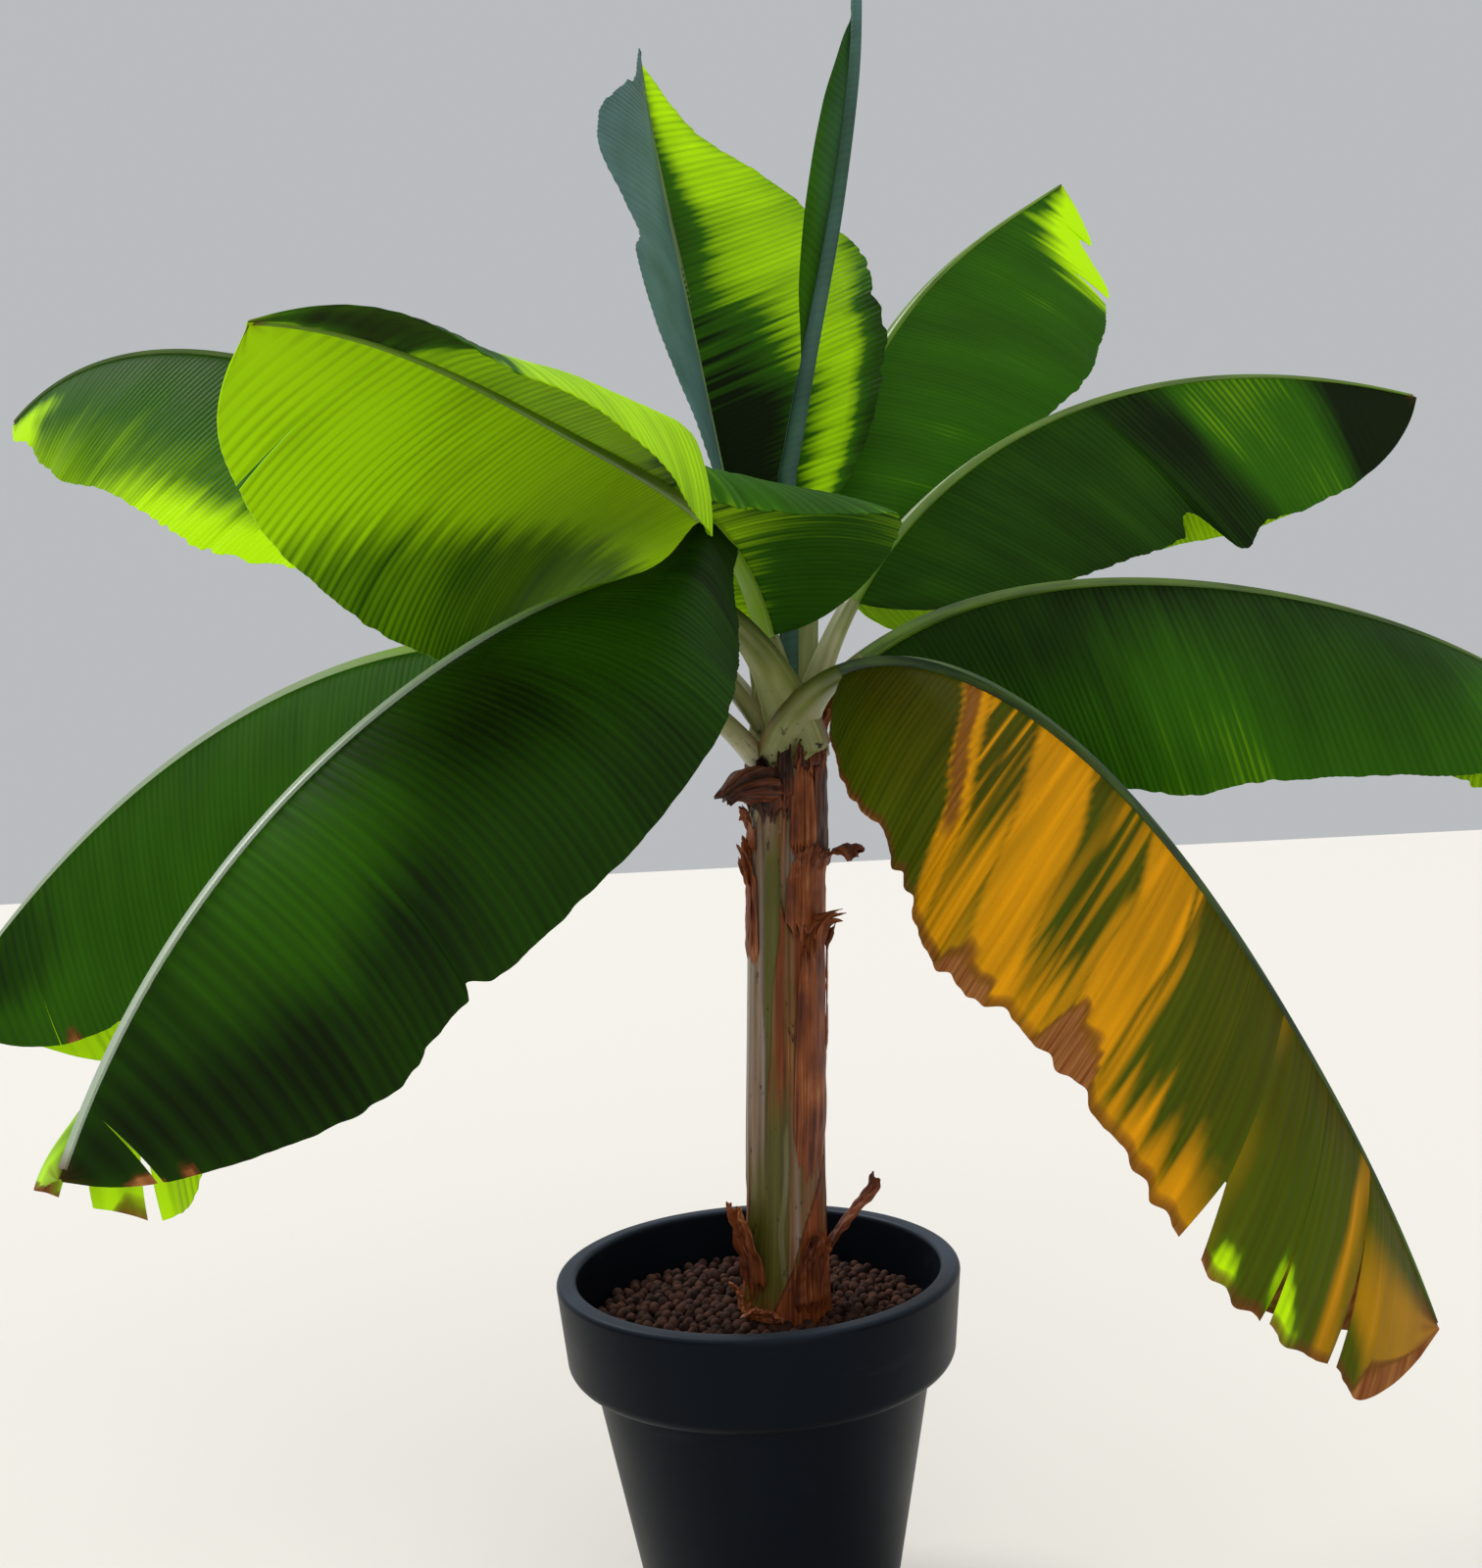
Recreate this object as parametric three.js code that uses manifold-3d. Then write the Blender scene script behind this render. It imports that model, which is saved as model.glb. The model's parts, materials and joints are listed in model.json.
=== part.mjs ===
// Potted banana plant: pot, pebble bed, leaning pseudostem, nine open leaves and one rolled new leaf.
// Millimetres, +Z up. The origin is the centre of the pot's underside, +X is right and -Y is the front.
import * as THREE from 'three';
import { mergeVertices } from 'three/addons/utils/BufferGeometryUtils.js';
import Module from 'manifold-3d';

const wasm = await Module();
wasm.setup();

// Clearance between solids that touch on the plant, and how far a limb grows to leave it on every face.
const GAP = 0.3;
const LIMB_GROWTH = 0.4;

// The pot: outer sizes, the collar under the rim and the wall.
const POT = {
  height: 440,
  rimRadius: 240,
  lipWidth: 24,
  lipRound: 7,
  collarHeight: 108,
  collarFootRadius: 231,
  collarRound: 16,
  bodyTopRadius: 204,
  footRadius: 138,
  footRound: 5,
  wall: 6,
  floor: 10,
  sides: 36,
};
// The clay pebbles are filled to here.
const BED_TOP = 380;

// The pseudostem leans a little to the right and is nearly as thick at the top as at the foot.
const STEM = {
  foot: new THREE.Vector3(30, 0, BED_TOP + GAP),
  top: new THREE.Vector3(66, 0, 1064),
  radius: 49,
  flare: 7,
  flareHeight: 60,
  taper: 5,
  shoulder: 30,
  shoulderTaper: 9,
  sides: 40,
  // Heights of its rings over the foot, close together where the outline curves.
  rings: [0, 15, 35, 60, 95, 150, 230, 653.7, 664, 674, 683.7],
};

// Leaf sizes that all leaves share.
const BLADE_THICKNESS = 10;
const RIB_DEPTH = 12;
const RIB_HALF_WIDTH = 12;
const RIB_SHOULDER = 15;
const TIP_HALF_WIDTH = 9;
const PETIOLE_BASE = { halfWidth: 24, depth: 18 };
const PETIOLE_END = { halfWidth: 12, depth: 12 };
const PETIOLE_TAPER = 0.8;
const BLADE_ROWS = 20;
const PETIOLE_ROWS = 9;
const PATH_STEPS = 160;
// The blade turns less sharply than its rib: its frame is averaged this share of the leaf each way.
const FRAME_SPREAD = 0.12;
// How late the fold changes from rib to margin, and how early the veins sweep forward along the blade.
const FOLD_GROWTH = 1.3;
const SWEEP_GROWTH = 0.8;
// The rib's shoulder takes at most this share of a vein, and a whole vein is added up in this many steps.
const WIDEST_SHOULDER = 0.3;
const VEIN_STEPS = 24;

// One entry for each leaf. Angles are in degrees and are controls of a Bezier curve:
// rise above level and heading (0 right, 90 back, 180 left, 270 front) run from the foot to the tip,
// roll and each half's fold at the rib and at the margin run from blade foot to tip.
// A fold above 0 droops. An outline is its peak's place, its bluntness and the roundness of its ends.
const LEAVES = {
  back_upright: {
    foot: [65, 17, 1020], petiole: 246, blade: 775, halfWidth: 246,
    rise: [77, 77, 59, 84], heading: [139, 96, 133], roll: [-2, -6, 6],
    left: { fold: [-59, -50], edge: [-57, -43, -41], outline: [1.2, 2.59, 0.55] },
    right: { fold: [-45, -11], edge: [-33, -47, 12], outline: [0.81, 1.91, 0.83] },
    sweep: 20, side: -1,
  },

  upper_left: {
    foot: [53, -7, 1053], petiole: 141, blade: 920, halfWidth: 239,
    rise: [112, -66, 41, -13], heading: [250, 258, 238], roll: [-11, 15, -2],
    left: { fold: [-13, 7], edge: [14, 54, 40], outline: [1.01, 2.65, 0.56] },
    right: { fold: [13, 38], edge: [1, 128, 46], outline: [0.88, 2.28, 0.435] },
    sweep: 29, side: 1,
  },

  front_left: {
    foot: [78, -31, 1053], petiole: 273, blade: 978, halfWidth: 240,
    rise: [72, -62, 11, -61], heading: [239, 251, 250], roll: [16, -1, 0],
    left: { fold: [-50, 40], edge: [16, 57, 73], outline: [1.02, 1.54, 0.49] },
    right: { fold: [55, 60], edge: [70, 85, 85], outline: [0.95, 3.0, 0.5] },
    sweep: 25, side: 1,
  },

  left: {
    foot: [49, -8, 1015], petiole: 270, blade: 900, halfWidth: 242,
    rise: [62, -14, -39, -55], heading: [185, 185, 184], roll: [0, 0, -6],
    left: { fold: [42, 54], edge: [70, 73, 80], outline: [0.95, 3.0, 0.48] },
    right: { fold: [55, 60], edge: [75, 80, 80], outline: [0.92, 3.0, 0.5] },
    sweep: 28, side: 1,
  },
  back_left: {
    foot: [66, 10, 1048], petiole: 335, blade: 1000, halfWidth: 240,
    rise: [59, 29, 44, -33], heading: [167, 171, 153], roll: [0, -4, -4],
    left: { fold: [45, 54], edge: [61, 71, 70], outline: [0.92, 3.0, 0.5] },
    right: { fold: [55, 60], edge: [75, 80, 80], outline: [0.92, 3.0, 0.5] },
    sweep: 26, side: 1,
  },
  back_right: {
    foot: [80, 18, 1045], petiole: 293, blade: 835, halfWidth: 247,
    rise: [72, 74, 28, 32], heading: [76, 40, 34], roll: [0, -1, 11],
    left: { fold: [55, 60], edge: [75, 80, 80], outline: [0.95, 4.0, 0.5] },
    right: { fold: [28, 55], edge: [66, 57, 82], outline: [1.0, 4.0, 0.51] },
    sweep: 26, side: 1,
  },

  right_upper: {
    foot: [78, 1, 1039], petiole: 209, blade: 856, halfWidth: 236,
    rise: [77, 41, 8, -18], heading: [27, 12, -3], roll: [-2, 7, 5],
    left: { fold: [55, 60], edge: [75, 80, 80], outline: [0.92, 3.0, 0.5] },
    right: { fold: [44, 60], edge: [56, 78, 72], outline: [0.94, 2.67, 0.54] },
    sweep: 24, side: 1,
  },

  right_lower: {
    foot: [60, -13, 1031], petiole: 163, blade: 875, halfWidth: 264,
    rise: [71, -25, 2, -50], heading: [-9, -8, -5], roll: [11, 1, -8],
    left: { fold: [55, 60], edge: [75, 80, 80], outline: [0.92, 3.0, 0.5] },
    right: { fold: [66, 27], edge: [91, 70, 51], outline: [0.87, 2.9, 0.5] },
    sweep: 27, side: 1,
  },
  front_right: {
    foot: [64, -25, 1040], petiole: 163, blade: 940, halfWidth: 262,
    rise: [66, -80, -53, -74], heading: [-64, -16, -7], roll: [0, 2, -3],
    left: { fold: [60, 60], edge: [80, 80, 80], outline: [1.0, 4.0, 0.5] },
    right: { fold: [33, 29], edge: [45, 63, 53], outline: [1.25, 4.0, 0.445] },
    sweep: 28, side: 1,
  },
};

const COLOURS = {
  pot: 0x1f252d,
  bed: 0x4a3430,
  stem: 0x6d6a2c,
  petiole: 0x8a9a50,
  leaf: 0x3c7a12,
  yellowLeaf: 0xc88a0a,
  newLeaf: 0x5c7a64,
  dry: 0x7a452c,
};

const radians = THREE.MathUtils.degToRad;
const clamp = THREE.MathUtils.clamp;
const lerp = THREE.MathUtils.lerp;

// Value at t of a Bezier curve through plain numbers.
function bezier(controls, t) {
  let values = controls;
  while (values.length > 1) {
    values = values.slice(1).map((value, i) => lerp(values[i], value, t));
  }
  return values[0];
}

// Closed solid from rows that each have as many upper points as lower ones.
function stripGeometry(rows) {
  const across = rows[0].upper.length;
  const positions = rows.flatMap((row) => [...row.upper, ...row.lower]).flatMap((p) => p.toArray());
  const upper = (i, j) => i * 2 * across + j;
  const lower = (i, j) => upper(i, j) + across;
  const index = [];
  const quad = (a, b, c, d) => index.push(a, b, c, a, c, d);
  for (let i = 0; i < rows.length - 1; i += 1) {
    for (let j = 0; j < across - 1; j += 1) {
      quad(upper(i, j), upper(i + 1, j), upper(i + 1, j + 1), upper(i, j + 1));
      quad(lower(i, j), lower(i, j + 1), lower(i + 1, j + 1), lower(i + 1, j));
    }
    const last = across - 1;
    quad(upper(i, 0), lower(i, 0), lower(i + 1, 0), upper(i + 1, 0));
    quad(upper(i, last), upper(i + 1, last), lower(i + 1, last), lower(i, last));
  }
  const end = rows.length - 1;
  for (let j = 0; j < across - 1; j += 1) {
    quad(upper(0, j), upper(0, j + 1), lower(0, j + 1), lower(0, j));
    quad(upper(end, j), lower(end, j), lower(end, j + 1), upper(end, j + 1));
  }
  const geometry = new THREE.BufferGeometry();
  geometry.setAttribute('position', new THREE.Float32BufferAttribute(positions, 3));
  geometry.setIndex(index);
  return outward(geometry);
}

// The same geometry with its faces turned to point outwards.
function outward(geometry) {
  const position = geometry.getAttribute('position');
  const index = geometry.index.array;
  const [a, b, c] = [new THREE.Vector3(), new THREE.Vector3(), new THREE.Vector3()];
  let volume = 0;
  for (let i = 0; i < index.length; i += 3) {
    a.fromBufferAttribute(position, index[i]);
    b.fromBufferAttribute(position, index[i + 1]);
    c.fromBufferAttribute(position, index[i + 2]);
    volume += a.dot(b.cross(c));
  }
  if (volume < 0) {
    for (let i = 0; i < index.length; i += 3) {
      [index[i + 1], index[i + 2]] = [index[i + 2], index[i + 1]];
    }
  }
  return geometry;
}

function solidOf(geometry) {
  const bare = new THREE.BufferGeometry();
  bare.setAttribute('position', geometry.getAttribute('position'));
  bare.setIndex(geometry.index);
  const merged = mergeVertices(bare, 1e-3);
  return new wasm.Manifold(new wasm.Mesh({
    numProp: 3,
    vertProperties: merged.getAttribute('position').array,
    triVerts: new Uint32Array(merged.index.array),
  }));
}

function geometryOf(solid) {
  const mesh = solid.getMesh();
  const geometry = new THREE.BufferGeometry();
  geometry.setAttribute('position', new THREE.Float32BufferAttribute(mesh.vertProperties, 3));
  geometry.setIndex([...mesh.triVerts]);
  return geometry;
}

// A solid less the solids that it must clear. Its largest single body is kept.
function cutClear(solid, others) {
  const rest = others.reduce((left, other) => left.subtract(other), solid);
  const bodies = rest.decompose();
  return bodies.reduce((best, body) => (body.volume() > best.volume() ? body : best));
}

const plant = new THREE.Group();

function addMesh(name, geometry, color, roughness) {
  const mesh = new THREE.Mesh(geometry, new THREE.MeshStandardMaterial({ color, roughness, metalness: 0 }));
  mesh.name = name;
  plant.add(mesh);
}

// Points of a quarter round between two directions about a centre, for a lathe profile.
function arc(centreR, centreZ, radius, from, to, steps) {
  const points = [];
  for (let i = 0; i <= steps; i += 1) {
    const angle = radians(lerp(from, to, i / steps));
    points.push(new THREE.Vector2(centreR + radius * Math.cos(angle), centreZ + radius * Math.sin(angle)));
  }
  return points;
}

function latheGeometry(profile) {
  const geometry = new THREE.LatheGeometry(profile, POT.sides);
  geometry.rotateX(Math.PI / 2);
  geometry.deleteAttribute('uv');
  geometry.deleteAttribute('normal');
  return outward(mergeVertices(geometry, 1e-3));
}

// Radius of the pot's inner wall at a height.
function potInside(z) {
  const top = POT.rimRadius - POT.lipWidth;
  const bottom = POT.footRadius - POT.wall;
  return lerp(bottom, top, z / POT.height);
}

function potGeometry() {
  const collarFoot = POT.height - POT.collarHeight;
  const lipCentreZ = POT.height - POT.lipRound;
  const profile = [
    new THREE.Vector2(0, 0),
    ...arc(POT.footRadius - POT.footRound, POT.footRound, POT.footRound, -90, 0, 2),
    new THREE.Vector2(POT.bodyTopRadius, collarFoot + POT.collarRound / 2),
    ...arc(POT.collarFootRadius - POT.collarRound, collarFoot + POT.collarRound, POT.collarRound, -90, 0, 3),
    ...arc(POT.rimRadius - POT.lipRound, lipCentreZ, POT.lipRound, 0, 90, 2),
    ...arc(POT.rimRadius - POT.lipWidth + POT.lipRound, lipCentreZ, POT.lipRound, 90, 180, 2),
    new THREE.Vector2(potInside(POT.floor), POT.floor),
    new THREE.Vector2(0, POT.floor),
  ];
  return latheGeometry(profile);
}

function bedGeometry() {
  const bottom = POT.floor + GAP;
  const clearance = GAP * 1.5;
  return latheGeometry([
    new THREE.Vector2(0, bottom),
    new THREE.Vector2(potInside(bottom) - clearance, bottom),
    new THREE.Vector2(potInside(BED_TOP) - clearance, BED_TOP),
    new THREE.Vector2(0, BED_TOP),
  ]);
}

// Radius of the pseudostem at a height.
function stemRadius(z) {
  const up = z - STEM.foot.z;
  const share = clamp(up / (STEM.top.z - STEM.foot.z), 0, 1);
  const flare = STEM.flare * Math.exp(-up / STEM.flareHeight);
  const shoulder = clamp((z - STEM.top.z + STEM.shoulder) / STEM.shoulder, 0, 1) ** 2;
  return STEM.radius + flare - STEM.taper * share - STEM.shoulderTaper * shoulder;
}

function stemCentre(z) {
  const share = (z - STEM.foot.z) / (STEM.top.z - STEM.foot.z);
  return new THREE.Vector3(lerp(STEM.foot.x, STEM.top.x, share), lerp(STEM.foot.y, STEM.top.y, share), z);
}

// Point at an angle round the pseudostem, a distance off its surface.
function besideStem(z, angle, off) {
  const reach = stemRadius(z) + off;
  return stemCentre(z).add(new THREE.Vector3(reach * Math.cos(angle), reach * Math.sin(angle), 0));
}

// The pseudostem, grown by a clearance when it is used to cut its neighbours.
function stemGeometry(grow) {
  const positions = [];
  const index = [];
  const last = STEM.rings.length - 1;
  for (let i = 0; i <= last; i += 1) {
    const end = (i === last ? grow : 0) - (i === 0 ? grow : 0);
    const z = STEM.foot.z + STEM.rings[i] + end;
    for (let j = 0; j < STEM.sides; j += 1) {
      positions.push(...besideStem(z, (j / STEM.sides) * Math.PI * 2, grow).toArray());
    }
  }
  const at = (i, j) => i * STEM.sides + (j % STEM.sides);
  for (let i = 0; i < last; i += 1) {
    for (let j = 0; j < STEM.sides; j += 1) {
      index.push(at(i, j), at(i, j + 1), at(i + 1, j + 1), at(i, j), at(i + 1, j + 1), at(i + 1, j));
    }
  }
  for (let j = 1; j < STEM.sides - 1; j += 1) {
    index.push(at(0, 0), at(0, j + 1), at(0, j));
    index.push(at(last, 0), at(last, j), at(last, j + 1));
  }
  const geometry = new THREE.BufferGeometry();
  geometry.setAttribute('position', new THREE.Float32BufferAttribute(positions, 3));
  geometry.setIndex(index);
  return outward(geometry);
}

// The centre line of a leaf with its petiole, and the frame of its blade at each place.
function leafPath(leaf) {
  const total = leaf.petiole + leaf.blade;
  const steps = PATH_STEPS;
  const direction = (share) => {
    const rise = radians(bezier(leaf.rise, share));
    const heading = radians(bezier(leaf.heading, share));
    return new THREE.Vector3(
      Math.cos(rise) * Math.cos(heading),
      Math.cos(rise) * Math.sin(heading),
      Math.sin(rise),
    );
  };
  const points = [new THREE.Vector3(...leaf.foot)];
  for (let i = 0; i < steps; i += 1) {
    const middle = direction(i / steps).add(direction((i + 1) / steps)).multiplyScalar(total / steps / 2);
    points.push(points[i].clone().add(middle));
  }
  const averaged = (controls, share) => [-FRAME_SPREAD, 0, FRAME_SPREAD]
    .reduce((sum, shift) => sum + bezier(controls, clamp(share + shift, 0, 1)) / 3, 0);
  return (distance) => {
    const share = clamp(distance / total, 0, 1);
    const place = share * steps;
    const i = Math.min(Math.floor(place), steps - 1);
    const rise = radians(averaged(leaf.rise, share));
    const heading = radians(averaged(leaf.heading, share));
    return {
      point: points[i].clone().lerp(points[i + 1], place - i),
      along: direction(share),
      side: new THREE.Vector3(-Math.sin(heading), Math.cos(heading), 0),
      normal: new THREE.Vector3(
        -Math.sin(rise) * Math.cos(heading),
        -Math.sin(rise) * Math.sin(heading),
        Math.cos(rise),
      ),
    };
  };
}

// Share of the full half width at a place between blade foot and tip.
function outlineShare(outline, place) {
  const [peak, bluntness, roundness] = outline;
  const shifted = place ** peak;
  return Math.max(0, 1 - Math.abs(2 * shifted - 1) ** bluntness) ** roundness;
}

// One vein row of one half blade: points from the rib out to the margin, with their surface normals.
function veinRow(leaf, frameAt, place, name) {
  const half = leaf[name];
  const sign = name === 'left' ? 1 : -1;
  const least = lerp(RIB_HALF_WIDTH, TIP_HALF_WIDTH, place);
  const width = Math.max(least, leaf.halfWidth * outlineShare(half.outline, place));
  const forward = width > least ? width * Math.tan(radians(leaf.sweep * place ** SWEEP_GROWTH)) : 0;
  const origin = Math.max(0, place * leaf.blade - forward);
  const frame = frameAt(leaf.petiole + origin);
  const roll = radians(bezier(leaf.roll, place));
  const turned = (main, other, sine) => (
    main.clone().multiplyScalar(Math.cos(roll)).addScaledVector(other, sine)
  );
  const side = turned(frame.side, frame.normal, Math.sin(roll));
  const normal = turned(frame.normal, frame.side, -Math.sin(roll));
  const inner = bezier(half.fold, place);
  const outer = bezier(half.edge, place);
  const foldAt = (u) => radians(inner + (outer - inner) * u ** FOLD_GROWTH);
  const point = frame.point.clone();
  const row = [];
  const shoulder = Math.min(RIB_SHOULDER / width, WIDEST_SHOULDER);
  const shares = [0, ...[0, 1, 2, 3].map((k) => lerp(shoulder, 1, k / 3))];
  let done = 0;
  for (const share of shares) {
    const count = Math.max(1, Math.round((share - done) * VEIN_STEPS));
    const step = (share - done) / count;
    for (let k = 0; k < count; k += 1) {
      const fold = foldAt(done + (k + 0.5) * step);
      point.addScaledVector(side, sign * Math.cos(fold) * step * width);
      point.addScaledVector(normal, -Math.sin(fold) * step * width);
      point.addScaledVector(frame.along, forward * step);
    }
    done = share;
    const fold = foldAt(share);
    row.push({
      point: point.clone(),
      normal: normal.clone().multiplyScalar(Math.cos(fold)).addScaledVector(side, sign * Math.sin(fold)),
    });
  }
  return { row, normal, inner };
}

// A blade: its face follows the leaf's surface, and it is thickened to the outside of its fold.
function bladeGeometry(leaf, frameAt) {
  const rows = [];
  for (let i = 0; i < BLADE_ROWS; i += 1) {
    const even = i / (BLADE_ROWS - 1);
    const place = even / 2 + (1 - Math.cos(Math.PI * even)) / 4;
    const left = veinRow(leaf, frameAt, place, 'left');
    const right = veinRow(leaf, frameAt, place, 'right');
    const rib = frameAt(leaf.petiole + place * leaf.blade).point;
    const ridge = BLADE_THICKNESS / Math.max(0.5, Math.cos(radians((left.inner + right.inner) / 2)));
    const lift = leaf.side > 0 ? ridge : 0;
    const drop = leaf.side > 0 ? RIB_DEPTH : ridge + RIB_DEPTH / 2;
    const outer = ({ point, normal }) => point.clone().addScaledVector(normal, leaf.side * BLADE_THICKNESS);
    const inner = ({ point }) => point.clone();
    const upperOf = leaf.side > 0 ? outer : inner;
    const lowerOf = leaf.side > 0 ? inner : outer;
    const line = (pick, centre) => [
      ...left.row.slice(1).reverse().map(pick),
      centre,
      ...right.row.slice(1).map(pick),
    ];
    rows.push({
      upper: line(upperOf, rib.clone().addScaledVector(left.normal, lift)),
      lower: line(lowerOf, rib.clone().addScaledVector(left.normal, -drop)),
    });
  }
  return stripGeometry(rows);
}

// Section of a petiole in half widths and depths: a channel along its upper side and a round keel.
const CHANNEL = [[-1, 0.55], [-0.5, 0.3], [0, 0.2], [0.5, 0.3], [1, 0.55]];
const KEEL = [[-0.96, -0.1], [-0.6, -0.75], [0, -1], [0.6, -0.75], [0.96, -0.1]];

// A limb along a path from its foot. Grown, each face moves out by the same distance.
function limbGeometry(frameAt, length, sizeAt, rowCount, grow) {
  const rows = [];
  for (let i = 0; i < rowCount; i += 1) {
    const share = i / (rowCount - 1);
    const frame = frameAt(length * share);
    const { halfWidth, depth } = sizeAt(share);
    const push = (i === rowCount - 1 ? grow : 0) - (i === 0 ? grow : 0);
    const placer = (lift) => ([x, y]) => frame.point.clone()
      .addScaledVector(frame.side, -x * (halfWidth + grow))
      .addScaledVector(frame.normal, y * depth + lift)
      .addScaledVector(frame.along, push);
    rows.push({ upper: CHANNEL.map(placer(grow)), lower: KEEL.map(placer(-grow)) });
  }
  return stripGeometry(rows);
}

function petioleGeometry(leaf, frameAt, grow) {
  const sizeAt = (share) => ({
    halfWidth: lerp(PETIOLE_BASE.halfWidth, PETIOLE_END.halfWidth, share ** PETIOLE_TAPER),
    depth: lerp(PETIOLE_BASE.depth, PETIOLE_END.depth, share ** PETIOLE_TAPER),
  });
  return limbGeometry(frameAt, leaf.petiole - GAP, sizeAt, PETIOLE_ROWS, grow);
}

// The new leaf is still rolled into a tube, with the free edge of its blade standing out on the left.
const ROLLED = {
  line: [
    [66, 14, 1040], [77, 18, 1200], [83, 22, 1370], [100, 25, 1530],
    [133, 28, 1700], [168, 30, 1860], [196, 30, 1960], [232, 30, 2030],
  ],
  footRadius: 13,
  tipRadius: 5,
  rows: 22,
  arcPoints: 5,
  flapFrom: 0.36,
  flapTo: 0.86,
  flapWidth: 44,
};

function rolledLeafGeometry(grow) {
  const curve = new THREE.CatmullRomCurve3(ROLLED.line.map((p) => new THREE.Vector3(...p)));
  const rows = [];
  for (let i = 0; i < ROLLED.rows; i += 1) {
    const share = i / (ROLLED.rows - 1);
    const centre = curve.getPointAt(share);
    const along = curve.getTangentAt(share);
    const back = new THREE.Vector3(0, 1, 0).addScaledVector(along, -along.y).normalize();
    const left = new THREE.Vector3().crossVectors(back, along).normalize().multiplyScalar(-1);
    const radius = lerp(ROLLED.footRadius, ROLLED.tipRadius, share ** 1.4) + grow;
    const within = clamp((share - ROLLED.flapFrom) / (ROLLED.flapTo - ROLLED.flapFrom), 0, 1);
    const flap = ROLLED.flapWidth * Math.sin(Math.PI * within) ** 0.7;
    const arcRow = (sign) => Array.from({ length: ROLLED.arcPoints }, (_, k) => {
      const angle = radians(lerp(28, 152, k / (ROLLED.arcPoints - 1)));
      const out = radius * Math.cos(angle) + (k === 0 ? flap : 0);
      return centre.clone()
        .addScaledVector(left, -out)
        .addScaledVector(back, sign * radius * Math.sin(angle));
    });
    rows.push({ upper: arcRow(1), lower: arcRow(-1) });
  }
  return stripGeometry(rows);
}

// Dry sheaths stay on the pseudostem. Each starts flat against it, then leans away and curls.
// steps is its width round the stem, counted in the stem's sides from the right, and lean its angle
// away from the stem at the middle and at the tip of its free part, which starts after the hug share.
const DRY_SHEATHS = {
  dry_sheath_foot_left: { steps: [17, 25], foot: 425, length: 95, hug: 0.2, lean: [34, 8], tipShare: 0.35 },
  dry_sheath_foot_right: { steps: [31, 38], foot: 383, length: 110, hug: 0.4, lean: [10, 18], tipShare: 0.6 },
  dry_strip_foot: { steps: [39, 43], foot: 432, length: 125, hug: 0.06, lean: [80, 8], tipShare: 0.5 },
  dry_sheath_front: { steps: [31, 39], foot: 540, length: 345, hug: 0.84, lean: [60, 80], tipShare: 0.6 },
  dry_sheath_right: { steps: [36, 41], foot: 893, length: 82, hug: 0.2, lean: [75, 125], tipShare: 0.5 },
  dry_sheath_left: { steps: [18, 25], foot: 780, length: 180, hug: 0.7, lean: [4, 26], tipShare: 0.5 },
  dry_sheath_crown: { steps: [30, 38], foot: 962, length: 95, hug: 0.6, lean: [7, 16], tipShare: 0.45 },
  dry_sheath_back: { steps: [5, 15], foot: 640, length: 330, hug: 0.9, lean: [6, 14], tipShare: 0.5 },
};
const DRY_THICKNESS = 3.5;
const STEM_STEP = (Math.PI * 2) / STEM.sides;
// Distance of a hugging sheath from the stem's true curve, a little more than its gap to the facets.
const SEAT = 0.5;
// Rows of a dry sheath: this far apart where it hugs the stem, and this many along its free part.
const HUG_ROW = 70;
const FREE_ROWS = 5;

function drySheathGeometry(sheath) {
  const spread = sheath.steps[1] - sheath.steps[0];
  const middle = (sheath.steps[0] + sheath.steps[1]) / 2;
  const rows = [];
  const hugRows = Math.ceil((sheath.length * sheath.hug) / HUG_ROW);
  let off = SEAT;
  let z = sheath.foot;
  let before = 0;
  for (let i = 0; i <= hugRows + FREE_ROWS; i += 1) {
    const share = i < hugRows
      ? (sheath.hug * i) / hugRows
      : lerp(sheath.hug, 1, (i - hugRows) / FREE_ROWS);
    const free = clamp((share - sheath.hug) / (1 - sheath.hug), 0, 1);
    const lean = radians(bezier([0, ...sheath.lean], free)) * (free > 0 ? 1 : 0);
    off += Math.sin(lean) * sheath.length * (share - before);
    z += Math.cos(lean) * sheath.length * (share - before);
    before = share;
    const shrink = (stemRadius(sheath.foot) + SEAT) / (stemRadius(z) + off);
    const width = spread * lerp(1, sheath.tipShare, share ** 2) * (free > 0 ? shrink : 1);
    // A distance from the inner face is measured square to the sheath.
    const across = (extra) => Array.from({ length: spread + 1 }, (_, k) => {
      const step = middle + width * (k / spread - 0.5);
      return besideStem(z, step * STEM_STEP, off + Math.cos(lean) * extra)
        .setZ(z - Math.sin(lean) * extra);
    });
    rows.push({ upper: across(DRY_THICKNESS), lower: across(0) });
  }
  return stripGeometry(rows);
}

// The stump of an old petiole, dried and bent over on the left under the crown.
const STUMP = {
  rise: [30, 10, -45], heading: [235, 220, 205], foot: [52, -22, 1000], length: 88,
  halfWidth: [19, 15], depth: [14, 11], rows: 8,
};

function stumpGeometry(grow) {
  const frameAt = leafPath({ ...STUMP, petiole: STUMP.length, blade: 0 });
  const sizeAt = (share) => ({
    halfWidth: lerp(...STUMP.halfWidth, share),
    depth: lerp(...STUMP.depth, share),
  });
  return limbGeometry(frameAt, STUMP.length, sizeAt, STUMP.rows, grow);
}

addMesh('pot', potGeometry(), COLOURS.pot, 0.45);
addMesh('clay_pebble_bed', bedGeometry(), COLOURS.bed, 0.95);
addMesh('pseudostem', stemGeometry(0), COLOURS.stem, 0.5);

// Limbs at the crown clear the pseudostem and the limbs before them.
const taken = [solidOf(stemGeometry(GAP))];

function addLimb(name, plain, grown, color, roughness) {
  addMesh(name, geometryOf(cutClear(solidOf(plain), taken)), color, roughness);
  taken.push(solidOf(grown));
}

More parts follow.
